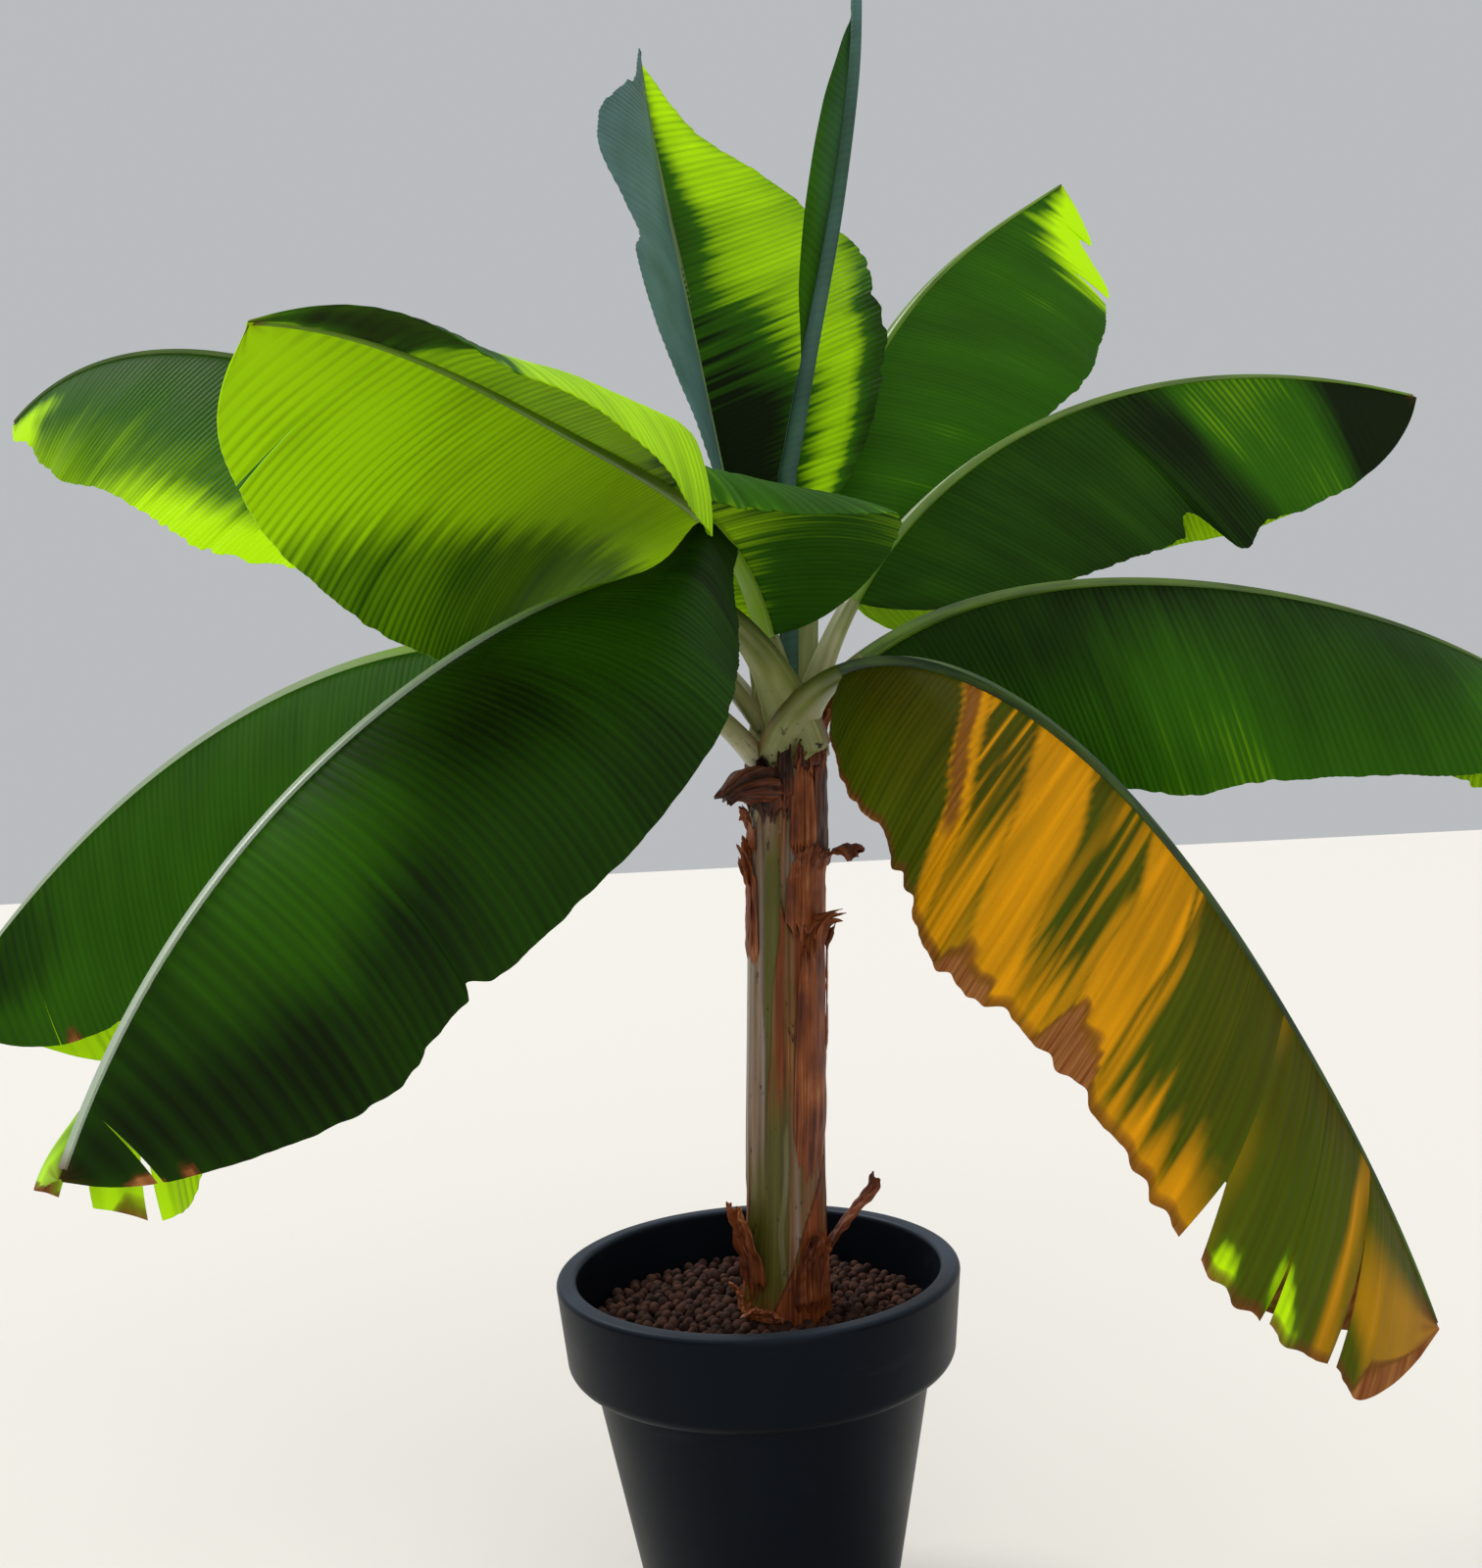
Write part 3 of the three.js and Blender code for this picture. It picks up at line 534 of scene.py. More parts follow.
def waxy_blade(name, bloom_added, roughness):
    """Living banana blade with a wax skin: pleated by its veins, its green painted with light and shade in
    soft dull streaks.
    """
    look = settings().leaf
    material, node = new_material(name)
    painted = node("ShaderNodeAttribute", attribute_name="leaf_tint").outputs
    place = node("ShaderNodeAttribute", attribute_name="leaf_place").outputs["Vector"]
    shade, bloom, amber = node("ShaderNodeSeparateColor", {"Color": painted["Color"]}).outputs
    dry = painted["Alpha"]
    # Side veins run across the blade, so each pattern is long across it. The third size, a metre, only
    # keeps two leaves from having the same pattern.
    vein = look.pleat / MM
    wander = patches(node, place, (33.33, 142.9, 1000), 1.0)
    streaks = patches(node, place, (vein / 0.6, 250, 1000), 2.0)
    fine = patches(node, place, (vein / 3.2, 111.1, 1000), 1.0)
    clouds = patches(node, place, (71.43, 111.1, 1000), 3.0)
    along = node("ShaderNodeSeparateXYZ", {"Vector": place}).outputs["X"]
    turns = node("ShaderNodeMath", (along, 2 * math.pi / look.pleat), operation="MULTIPLY")
    wavy_turns = node("ShaderNodeMath", (wander, VEIN_WANDER, turns), operation="MULTIPLY_ADD")
    ripple = node("ShaderNodeMath", (wavy_turns,), operation="SINE")
    uneven = node("ShaderNodeMath", (ripple, 0.07), operation="MULTIPLY")
    for field, amount in ((streaks, 0.24), (fine, 0.18), (clouds, 0.26)):
        uneven = varied(node, uneven, field, amount)
    # Painted light through a pale blade brings out its veins, so they show less where it is painted deep
    # green.
    shown = node("ShaderNodeMapRange", (shade, 0.1, 0.9, 0.4, 1.0))
    tone = node("ShaderNodeMath", (uneven, shown, shade), operation="MULTIPLY_ADD")
    green = node("ShaderNodeValToRGB", (tone,), ((0.0, look.deep), (0.45, look.middle), (1.0, look.lime)))
    wax = node("ShaderNodeMath", (bloom, bloom_added), operation="ADD")
    patchy = node("ShaderNodeMapRange", (clouds, 0.2, 0.8, 0.4, 0.88))
    wax = node("ShaderNodeMath", (wax, patchy), operation="MULTIPLY", use_clamp=True)
    gold = node("ShaderNodeValToRGB", (streaks,), ((0.3, linear("#B27A06")), (0.7, look.amber)))
    dead = node("ShaderNodeValToRGB", (fine,), ((0.3, linear("#4E2C14")), (0.75, linear("#B0824A"))))
    # The rim between what is dead and what lives, where dry is between 0 and 1, is darkest.
    rim = node("ShaderNodeMapRange", (dry, 0.0, 1.0, 2.2, 0.0))
    rim = node("ShaderNodeMath", (dry, rim), operation="MULTIPLY", use_clamp=True)
    withered = laid_over(node, look.withered, (0.5, dead))
    skin = laid_over(
        node, green, (wax, look.bloom), (amber, gold), (dry, withered), (rim, linear("#4A2410")),
    )
    rough = node("ShaderNodeMapRange", (dry, 0.0, 1.0, roughness, 0.85))
    rough = node("ShaderNodeMath", (clouds, 0.1, rough), operation="MULTIPLY_ADD")
    veins = node("ShaderNodeMath", (ripple, 0.25, fine), operation="MULTIPLY_ADD")
    finished(node, {
        "Base Color": skin, "Roughness": rough,
        "IOR": 1.36, "Specular IOR Level": 0.1, "Specular Tint": (0.85, 1.0, 0.7),
    }, (veins, 0.4, 1.0))
    return material


# The fibres of a real stalk or sheath are under a millimetre apart. They are drawn 2 to 4 mm apart, so
# that they show, and so is the fine grain of the pot's plastic, at about a millimetre.
def fibrous_stalk(name, codes, spots, uneven):
    """Living petiole or rib, grown of watery tissue: long fibres under a wax skin, spotted at the foot."""
    look = settings().stem
    material, node = new_material(name)
    tone, spotted, dry, place = stalk_paint(node)
    fibres = patches(node, place, (3.846, 3.846, 111.1), 2.0)
    clouds = patches(node, place, (29.41, 29.41, 83.33), 3.0)
    specks = patches(node, place, (10.53, 10.53, 10.53), 2.0, 0.6)
    tone = varied(node, varied(node, tone, clouds, uneven), fibres, 0.35)
    stops = [(number / (len(codes) - 1), linear(code)) for number, code in enumerate(codes)]
    skin = node("ShaderNodeValToRGB", (tone,), stops)
    blotch = node("ShaderNodeMapRange", (specks, 0.6, 0.66, 0.0, spots))
    blotch = node("ShaderNodeMath", (blotch, spotted), operation="MULTIPLY")
    finished(node, {
        "Base Color": laid_over(node, skin, (blotch, look.dark), (dry, look.dry)),
        "Roughness": node("ShaderNodeMapRange", (fibres, 0.0, 1.0, 0.32, 0.5)),
    }, (fibres, 0.35, 0.8))
    return material


def papery_sheath(name, darkness):
    """Dead leaf sheath, dried to a brown paper: matte, ribbed by its fibres, with pale and dark streaks."""
    look = settings().stem
    material, node = new_material(name)
    place = stalk_paint(node)[-1]
    fibres = patches(node, place, (2.381, 2.381, 125), 2.0)
    clouds = patches(node, place, (29.41, 29.41, 62.5), 3.0)
    broad = node("ShaderNodeMath", (clouds, 0.54), operation="MULTIPLY")
    tone = node("ShaderNodeMath", (fibres, 0.5, broad), operation="MULTIPLY_ADD")
    stops = ((0.28, look.dark), (0.448, look.dry), (0.616, linear("#925028")), (0.76, linear("#C28E5C")))
    skin = node("ShaderNodeValToRGB", (tone,), [(at + darkness, colour) for at, colour in stops])
    finished(node, {"Base Color": skin, "Roughness": 0.5, "Specular IOR Level": 0.25}, (tone, 0.5, 1.2))
    return material


def layered_sheath(name):
    """Pseudostem, grown as tight sheaths: satin, from green to cream, with red-brown dead ones over them."""
    look = settings().stem
    material, node = new_material(name)
    tone, dead, dark, place = stalk_paint(node)
    fibres = patches(node, place, (3.333, 3.333, 166.7), 3.0)
    clouds = patches(node, place, (50, 50, 142.9), 4.0)
    specks = patches(node, place, (14.29, 14.29, 25), 3.0, 0.65)
    tone = varied(node, varied(node, tone, clouds, 0.7), fibres, 0.5)
    living = node("ShaderNodeValToRGB", (tone,), (
        (0.0, linear("#3C3D14")), (0.5, look.green), (1.0, look.pale),
    ))
    broad = node("ShaderNodeMath", (clouds, 0.5), operation="MULTIPLY")
    dead_tone = node("ShaderNodeMath", (fibres, 0.7, broad), operation="MULTIPLY_ADD")
    dried = node("ShaderNodeValToRGB", (dead_tone,), (
        (0.35, look.dark), (0.5, look.dry), (0.7, linear("#8A4418")), (0.85, linear("#BC8040")),
    ))
    blotch = node("ShaderNodeMapRange", (specks, 0.62, 0.7, 0.0, 0.85))
    finished(node, {
        "Base Color": laid_over(node, living, (dead, dried), (blotch, look.dark), (dark, look.dark)),
        "Roughness": node("ShaderNodeMapRange", (dead, 0.0, 1.0, 0.36, 0.6)),
        "Specular IOR Level": 0.22,
    }, (node("ShaderNodeMath", (fibres, clouds), operation="ADD"), 0.5, 1.0))
    return material


def moulded_plastic():
    """Blow-moulded polypropylene with a satin face: near black, softly shining, with painted sheen and dust
    on its ledges.
    """
    look = settings().pot
    material, node = new_material("moulded_polypropylene_satin")
    place = node("ShaderNodeTexCoord").outputs["Object"]
    skin = patches(node, place, (1.111, 1.111, 1.111), 2.0)
    dust = patches(node, place, (166.7, 166.7, 166.7), 5.0, 0.6)
    scuffs = patches(node, place, (142.9, 142.9, 33.33), 6.0, 0.7)
    normal = node("ShaderNodeNewGeometry").outputs["Normal"]
    upward = node("ShaderNodeSeparateXYZ", {"Vector": normal}).outputs["Z"]
    # Faces that look up get a painted sheen, a lighter blue-grey reflection, patchy by the dust field, and
    # light scuffs are added to it.
    upward_sheen = node("ShaderNodeMapRange", (upward, 0.4, 1.0))
    settled = node("ShaderNodeMapRange", (dust, 0.35, 0.75, 0.4, 0.95))
    scuffed = node("ShaderNodeMapRange", (scuffs, 0.6, 0.8, 0.0, 0.16))
    worn = node("ShaderNodeMath", (upward_sheen, settled, scuffed), operation="MULTIPLY_ADD", use_clamp=True)
    finished(node, {
        "Base Color": laid_over(node, look.colour, (worn, look.sheen_and_scuff_colour)),
        "Roughness": node("ShaderNodeMapRange", (dust, 0.2, 0.8, 0.34, 0.48)),
        "IOR": 1.49, "Specular IOR Level": 0.11, "Specular Tint": (0.62, 0.78, 1.0),
    }, (skin, 0.12, 0.3))
    return material


def fired_clay():
    """Expanded clay fired in a drum: matte brown balls with a finely pitted skin, each a little different."""
    look = settings().bed
    material, node = new_material("expanded_clay_fired")
    place = node("ShaderNodeTexCoord").outputs["Object"]
    pits = patches(node, place, (1.429, 1.429, 1.429), 3.0, 0.6)
    # One tone for each ball: the field changes over about a ball's width.
    lots = patches(node, place, (10.53, 10.53, 10.53), 0.0)
    lot_tone = node("ShaderNodeMapRange", (lots, 0.3, 0.7))
    tone = node("ShaderNodeMath", (pits, 0.2, lot_tone), operation="MULTIPLY_ADD", use_clamp=True)
    skin = node("ShaderNodeValToRGB", (tone,), ((0.0, look.dark_colour), (1.0, look.light_colour)))
    finished(node, {"Base Color": skin, "Roughness": 0.9, "Specular IOR Level": 0.2}, (pits, 0.6, 0.6))
    return material


def dark_substrate():
    """Damp potting substrate, loosely filled: nearly black and crumbly, seen only between the pebbles."""
    material, node = new_material("damp_substrate")
    crumbs = patches(node, node("ShaderNodeTexCoord").outputs["Object"], (3.846, 3.846, 3.846), 4.0, 0.65)
    skin = node("ShaderNodeValToRGB", (crumbs,), ((0.0, linear("#120D0A")), (1.0, linear("#3A2A20"))))
    finished(node, {"Base Color": skin, "Roughness": 0.95}, (crumbs, 1.0, 4.0))
    return material


def painted_floor():
    """Plain pale studio floor, painted with a dead matte finish."""
    material, node = new_material("studio_floor_matte")
    finished(node, {"Base Color": settings().stage.floor, "Roughness": 0.9})
    return material


# Each finish by its short name: the function that makes it, and what that is given.
FINISHES = {
    "pot": (moulded_plastic,),
    "clay": (fired_clay,),
    "substrate": (dark_substrate,),
    "floor": (painted_floor,),
    "blade_upper": (waxy_blade, "banana_blade_glossy_wax", 0.0, 0.46),
    "blade_lower": (waxy_blade, "banana_blade_wax_bloom", 0.015, 0.48),
    "petiole": (fibrous_stalk, "banana_petiole_fibrous", ("#384A10", "#737A38", "#ACA680"), 1.0, 0.9),
    "rib": (fibrous_stalk, "banana_midrib_waxy", ("#16301A", "#7FA816", "#A6B2A4"), 0.0, 0.3),
    "sheath": (layered_sheath, "banana_sheath_layered"),
    "paper": (papery_sheath, "banana_sheath_dried", 0.0),
    "dark_paper": (papery_sheath, "banana_sheath_withered", 0.16),
}


@cache
def finish_of(name):
    """The material of that short name, made the first time that a piece asks for it."""
    maker, *given = FINISHES[name]
    return maker(*given)


class Shape:
    """Points with named values, and faces with material numbers, gathered for one mesh."""

    def __init__(self):
        self.points = []
        self.faces = []
        self.slots = []
        self.values = {}
        self.count = 0

    def add(self, points, *face_sets, slot=0, **values):
        """More points, with their values and faces; slot is one material number, or one for each face."""
        points = np.asarray(points, float).reshape(-1, 3)
        self.points.append(points)
        for faces in face_sets:
            self.faces.append(np.asarray(faces, int) + self.count)
            self.slots.append(np.broadcast_to(slot, len(faces)))
        for key, value in values.items():
            self.values.setdefault(key, []).append(np.asarray(value, float).reshape(len(points), -1))
        self.count += len(points)

    def build(self, name, materials, flat_angle=None):
        """The mesh object, smooth shaded; flat_angle keeps edges sharper than it, in degrees."""
        faces = [face for part in self.faces for face in part.tolist()]
        mesh = bpy.data.meshes.new(name)
        mesh.from_pydata(np.vstack(self.points).tolist(), [], faces)
        mesh.polygons.foreach_set("material_index", np.concatenate(self.slots).astype(np.int32))
        mesh.polygons.foreach_set("use_smooth", np.ones(len(faces), bool))
        for key, parts in self.values.items():
            values = np.vstack(parts)
            kind, field = ("FLOAT_COLOR", "color") if values.shape[1] == 4 else ("FLOAT_VECTOR", "vector")
            layer = mesh.attributes.new(key, kind, "POINT")
            layer.data.foreach_set(field, values.astype(np.float32).ravel())
        for material in materials:
            mesh.materials.append(material)
        if flat_angle is not None:
            mesh.set_sharp_from_angle(angle=math.radians(flat_angle))
        mesh.validate()
        mesh.update()
        return in_scene(name, mesh)


def in_scene(name, data):
    """A new object with this data, linked to the scene."""
    piece = bpy.data.objects.new(name, data)
    bpy.context.scene.collection.objects.link(piece)
    return piece


def place_piece(piece, slot, *nodes):
    """The piece rides on the plant's one body and stands for its solids; slot is not used."""
    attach(piece, "root")
    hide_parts(*nodes)


def grid_faces(rows, columns, kept):
    """Quads of a grid, those that kept marks, as rows of four point numbers."""
    at = np.arange(rows * columns).reshape(rows, columns)
    return np.stack([at[:-1, :-1], at[1:, :-1], at[1:, 1:], at[:-1, 1:]], -1)[kept]


def ring_faces(rings, points):
    """Quads between closed rings of points, each point's number in the rings, and the number of the next."""
    at = np.arange(rings * points).reshape(rings, points)
    after = np.roll(at, -1, axis=1)
    return np.stack([at[:-1], after[:-1], after[1:], at[1:]], -1).reshape(-1, 4), at, after


def border_edges(quads, size):
    """Directed edges of the quads that no other quad shares."""
    edges = np.concatenate([quads[:, [k, (k + 1) % 4]] for k in range(4)])
    there = edges[:, 0] * size + edges[:, 1]
    back = edges[:, 1] * size + edges[:, 0]
    return edges[~np.isin(there, back)]


def add_sheet(shape, points, thickness, slots, kept=..., **values):
    """A grid of points made a closed thin sheet: upper face in the first slot, lower face in the second."""
    rows, columns = points.shape[:2]
    size = rows * columns
    flat = points.reshape(-1, 3)
    offset = (grid_normals(points) * thickness / 2).reshape(-1, 3)
    quads = grid_faces(rows, columns, kept).reshape(-1, 4)
    edges = border_edges(quads, size)
    walls = np.stack([edges[:, 1], edges[:, 0], edges[:, 0] + size, edges[:, 1] + size], -1)
    faces = np.concatenate([quads[:, ::-1], quads + size, walls[:, ::-1]])
    numbers = np.repeat([slots[0], slots[1], slots[0]], [len(quads), len(quads), len(walls)])
    doubled = {key: np.concatenate([v.reshape(size, -1)] * 2) for key, v in values.items()}
    shape.add(np.concatenate([flat + offset, flat - offset]), faces, slot=numbers, **doubled)


def add_tube(shape, rings, slot=0, **values):
    """Closed rings of points joined to a tube, with a fan round a middle point at each end."""
    rows, columns = rings.shape[:2]
    quads, at, after = ring_faces(rows, columns)
    points = np.concatenate([rings.reshape(-1, 3), rings[0].mean(0)[None], rings[-1].mean(0)[None]])
    first, last = rows * columns, rows * columns + 1
    ends = np.concatenate([
        np.stack([after[0], at[0], np.full(columns, first)], -1),
        np.stack([at[-1], after[-1], np.full(columns, last)], -1),
    ])
    capped = {}
    for key, value in values.items():
        value = np.asarray(value).reshape(rows * columns, -1)
        capped[key] = np.concatenate([value, value[:1], value[-1:]])
    shape.add(points, quads, ends, slot=slot, **capped)


def leaf_path(leaf):
    """The leaf's centre line as a function of distance: point, direction, side and normal, in millimetres."""
    total = leaf["petiole"] + leaf["blade"]
    shares = np.linspace(0, 1, PATH_STEPS + 1)

    def direction(share):
        rise, heading = (np.radians(bezier(leaf[key], share)) for key in ("rise", "heading"))
        return np.stack([np.cos(rise) * np.cos(heading), np.cos(rise) * np.sin(heading), np.sin(rise)], -1)

    ways = direction(shares)
    middles = (ways[1:] + ways[:-1]) / 2 * total / PATH_STEPS
    points = np.vstack([np.zeros(3), np.cumsum(middles, axis=0)]) + np.array(leaf["foot"], float)

    def averaged(controls, share):
        shifts = (-FRAME_SPREAD, 0, FRAME_SPREAD)
        return sum(bezier(controls, np.clip(share + shift, 0, 1)) for shift in shifts) / 3

    def frame_at(distance):
        share = np.clip(np.asarray(distance, float) / total, 0, 1)
        rise, heading = (np.radians(averaged(leaf[key], share)) for key in ("rise", "heading"))
        point = np.stack([np.interp(share, shares, points[:, k]) for k in range(3)], -1)
        side = np.stack([-np.sin(heading), np.cos(heading), np.zeros_like(heading)], -1)
        level = -np.sin(rise)
        normal = np.stack([level * np.cos(heading), level * np.sin(heading), np.cos(rise)], -1)
        return point, direction(share), side, normal

    return frame_at


def outline_share(outline, place):
    """How wide a half is at a place, from 0 to 1, for an outline of its peak, bluntness and roundness."""
    peak, bluntness, roundness = outline
    return np.maximum(0, 1 - np.abs(2 * place ** peak - 1) ** bluntness) ** roundness


def worn_width(look, place, seed):
    """How much of the full width is left of a half at each place: worn, and bitten out here and there."""
    left = 1 - look["ragged"] * (grain(place * 60, 0, seed) + grain(place * 17, 3, seed))
    for centre, half_length, depth in look["bites"]:
        near = np.clip(1 - np.abs(place - centre) / half_length, 0, 1)
        left = left - depth * smooth(0, 1, near) * (0.9 + 0.2 * grain(place * 90, 7, seed))
    return left


ROWS_PER_PLEAT = 4
BLADE_COLUMNS = 20
# A half never gets narrower than these millimetres, at the foot and at the tip.
LEAST_HALF_WIDTH = (7, 1.5)
PLEAT_DEPTH = 0.45
MARGIN_WAVE = 3.2
MARGIN_WAVE_LENGTH = 95
STRIP_DROOP = 9
CURL_SPREAD = 0.3
# No row of a blade lies nearer to a tear than this many times half its gap.
TEAR_CLEARANCE = 1.6
# What is left of a tear's gap at its inner end.
TEAR_HAIR = 0.04


def blade_rows(leaf, look):
    """Places of the rows along a blade and, for each gap between rows, the reach of the tear that it is."""
    length = leaf["blade"]
    pleat = settings().leaf.pleat / MM
    count = int(length / pleat * ROWS_PER_PLEAT)
    places = list(np.linspace(0, 1, count + 1))
    tears = {}
    for centre, reach, gap in look["tears"]:
        half = gap / 2 / length
        places = [place for place in places if abs(place - centre) > half * TEAR_CLEARANCE]
        places += [centre - half, centre + half]
        tears[round(centre - half, 9)] = reach
    places = np.array(sorted(places))
    return places, [tears.get(round(place, 9), 0) for place in places[:-1]]


def half_section(half, look, places, reaches, seed):
    """Distances out and down of each point of a half's rows, as shares of their widths."""
    u = np.linspace(0, 1, BLADE_COLUMNS + 1)
    middle = (u[1:] + u[:-1])[None, :] / 2
    fold = bezier(half["fold"], places)[:, None]
    edge = bezier(half["edge"], places)[:, None]
    angle = fold + (edge - fold) * middle ** FOLD_GROWTH
    if any(reaches):
        # Strips between tears hang at angles of their own.
        strip = np.cumsum([0] + [reach > 0 for reach in reaches])
        droop = (np.random.default_rng(seed + 5).random(64) - 0.3)[strip][:, None]
        angle = angle + STRIP_DROOP * droop * smooth(0.3, 1, middle)
    for place, half_length, start, turn in look["curls"]:
        near = smooth(0, 1, 1 - np.abs(places[:, None] - place) / half_length)
        angle = angle + turn * near * smooth(start, start + CURL_SPREAD, middle)
    angle = np.radians(angle)
    start = np.zeros((len(places), 1))
    return [
        np.hstack([start, np.cumsum(step / BLADE_COLUMNS, axis=1)]) for step in (np.cos(angle), np.sin(angle))
    ]


def close_tears(grid, reaches):
    """Closes the gaps of torn rows towards the rib, in place, and says which faces of the grid stay."""
    u = np.linspace(0, 1, BLADE_COLUMNS + 1)
    kept = np.ones((len(grid) - 1, BLADE_COLUMNS), bool)
    for row, reach in enumerate(reaches):
        if reach:
            opened = np.clip((u - 1 + reach) / reach, TEAR_HAIR, 1)[:, None]
            centre = (grid[row] + grid[row + 1]) / 2
            spread = (grid[row + 1] - grid[row]) / 2
            grid[row], grid[row + 1] = centre - spread * opened, centre + spread * opened
            kept[row] = u[:-1] < 1 - reach
    return kept


def half_blade(leaf, look, name, frame_at, seed):
    """One half of a blade as a grid of points in millimetres: grid, places, shares, widths, kept faces."""
    sign = 1 if name == "left" else -1
    half = leaf[name]
    length = leaf["blade"]
    places, reaches = blade_rows(leaf, look)
    m, u = places[:, None], np.linspace(0, 1, BLADE_COLUMNS + 1)[None, :]
    full = leaf["half_width"] * outline_share(half["outline"], places) * worn_width(look, places, seed)
    width = np.maximum(full, lerp(*LEAST_HALF_WIDTH, places))
    # The rows sweep forward towards the margin, apart from the narrowest ones at the ends.
    sweep = np.tan(np.radians(look.get("sweep", leaf["sweep"]) * places ** SWEEP_GROWTH))
    forward = np.where(full > width * 0.999, width * sweep, 0)
    origin = np.maximum(0, places * length - forward)
    point, along, side, normal = frame_at(leaf["petiole"] + origin)
    roll = np.radians(bezier(leaf["roll"], places))[:, None]
    side, normal = side * np.cos(roll) + normal * np.sin(roll), normal * np.cos(roll) - side * np.sin(roll)
    out, down = (share * width[:, None] for share in half_section(half, look, places, reaches, seed))
    grid = (
        point[:, None] + out[..., None] * sign * side[:, None] - down[..., None] * normal[:, None]
        + (forward[:, None] * u)[..., None] * along[:, None]
    )
    kept = close_tears(grid, reaches)
    # Pleats follow the side veins, and the margin waves slowly.
    pleats = np.sin(2 * np.pi * m * length / (settings().leaf.pleat / MM))
    pleats = pleats * (0.6 + 0.8 * grain(m * 25, u * 3, seed + 1))
    pleats = pleats * PLEAT_DEPTH * smooth(0.0, 0.12, u) * smooth(0, 0.06, 1 - m)
    waves = grain(m * length / MARGIN_WAVE_LENGTH * 2, 0.4 + u * 1.3, seed + 2) - 0.5
    waves = waves * 2 * MARGIN_WAVE * u ** 1.6
    grid = grid - sign * grid_normals(grid) * (pleats + waves)[..., None]
    return grid, m, u, width[:, None], kept


GLOW_SOFTNESS = 0.7
GLOW_STREAKS = 0.3
# Streaks are weaker by this on a patch with a crisp edge.
CRISP_STREAKS = 0.4
# Over how much of the width, or of the length at the tip, living blade turns to dead.
DRY_BLEND = (0.035, 0.02)
BAND_BLEND = 0.006
STRIP_BLEND = 0.012
STRIP_DRYNESS = 0.8


def paint_shade(look, m, u, field, seed):
    """How light the green is at each point of a half, in painted light and shade: three tones, ends and
    patches.
    """
    ends = look["foot_shade"] * (1 - smooth(0.1, 0.26, m)) + look["tip_shade"] * smooth(0.7, 1.0, m)
    shade = bezier(look["shade"], u) + ends + 0.1 * (field - 0.5)
    streaks = grain(m * 130, u * 1.6, seed + 11) - 0.5
    for place, share, half_length, half_share, gain, *soft in look["glows"]:
        near = 1 - np.hypot((m + 0.03 * (field - 0.5) - place) / half_length, (u - share) / half_share)
        near = near + GLOW_STREAKS * (CRISP_STREAKS if soft else 1) * streaks
        shade = shade + gain * smooth(0, soft[0] if soft else GLOW_SOFTNESS, near)
    return shade


def paint_amber(look, m, u, vein, field, seed):
    """How yellow each point of a half is: bands between its veins, streaked with green, fringe and tip."""
    amber = AMBER_WASH
    streaks = grain(m * 150, u * 1.4, seed + 6)
    for start, end, strength, inner, outer in AMBER_BANDS:
        band = smooth(start - BAND_BLEND, start + BAND_BLEND, vein)
        band = band * (1 - smooth(end - BAND_BLEND, end + BAND_BLEND, vein))
        streaked = lerp(inner, outer, smooth(0.45, 0.95, u))
        amber = np.maximum(amber, band * strength * (1 - streaked * smooth(0.25, 0.6, streaks)))
    fringe = smooth(0.72, 1.0, u + 0.3 * (streaks - 0.5)) * smooth(0.35, 0.5, m) * (1 - smooth(0.74, 0.8, m))
    tip = smooth(0.93, 1.0, m + 0.08 * (field - 0.5)) * smooth(0.1, 0.7, u)
    return look["amber"] * np.clip(np.maximum(np.maximum(amber, fringe), tip), 0, 1)


def paint_dry(look, m, u, vein, seed):
    """How dead each point of a half is: its margin, its dead stretches, its tip and a strip between veins."""
    rough = 0.5 + grain(m * 45, u * 9, seed + 7)
    margin = look["dry_edge"] * rough * (1 + 1.2 * grain(m * 12, 0, seed + 8))
    for centre, half_length, depth in look["dead"]:
        near = smooth(0, 0.5, 1 - np.abs(m - centre) / half_length)
        margin = np.maximum(margin, depth * near * (0.55 + 0.9 * grain(m * 38, 0, seed + 9)))
    tip = look["dry_tip"] * rough
    dry = np.maximum(
        smooth(1 - margin, 1 - margin + DRY_BLEND[0], u), smooth(1 - tip, 1 - tip + DRY_BLEND[1], m),
    )
    if look["strip"]:
        start, end = look["strip"]
        strip = smooth(start, start + STRIP_BLEND, vein) * smooth(end, end - STRIP_BLEND, vein)
        dry = np.maximum(dry, STRIP_DRYNESS * strip * (1 - smooth(0.6, 0.75, u)))
    return dry


def paint_half(look, m, u, seed):
    """Shade, bloom, amber and dryness of each point of a half blade."""
    field = grain(m * 14, u * 3, seed + 3)
    vein = m - VEIN_BEND * u * np.maximum(0, 0.6 - m) + 0.02 * (grain(m * 7, u * 3, seed + 4) - 0.5)
    return np.stack(np.broadcast_arrays(
        paint_shade(look, m, u, field, seed), look["bloom"],
        paint_amber(look, m, u, vein, field, seed), paint_dry(look, m, u, vein, seed),
    ), -1)


def rib_section(points):
    """Section of a petiole or rib in half widths and depths: channel above, keel below, as a closed ring."""
    upper = np.linspace(1, -1, points)
    lower = np.linspace(-np.pi, 0, points + 2)[1:-1]
    across, down = -np.cos(lower), np.sin(lower)
    channel = np.stack([-upper, 0.2 + 0.35 * np.abs(upper) ** 1.7], -1)
    keel = np.stack([np.sign(across) * np.abs(across) ** 0.9, -np.abs(down) ** 0.8], -1)
    return np.concatenate([channel, keel])


RIB_SECTION = rib_section(9)


def limb_rings(frame_at, distances, half_widths, depths):
    """The section of a petiole or rib at each distance along its leaf, as rings of points."""
    point, _, side, normal = frame_at(distances)
    x, y = RIB_SECTION.T
    return (
        point[:, None] - side[:, None] * (x * half_widths[:, None])[..., None]
        + normal[:, None] * (y * depths[:, None])[..., None]
    )


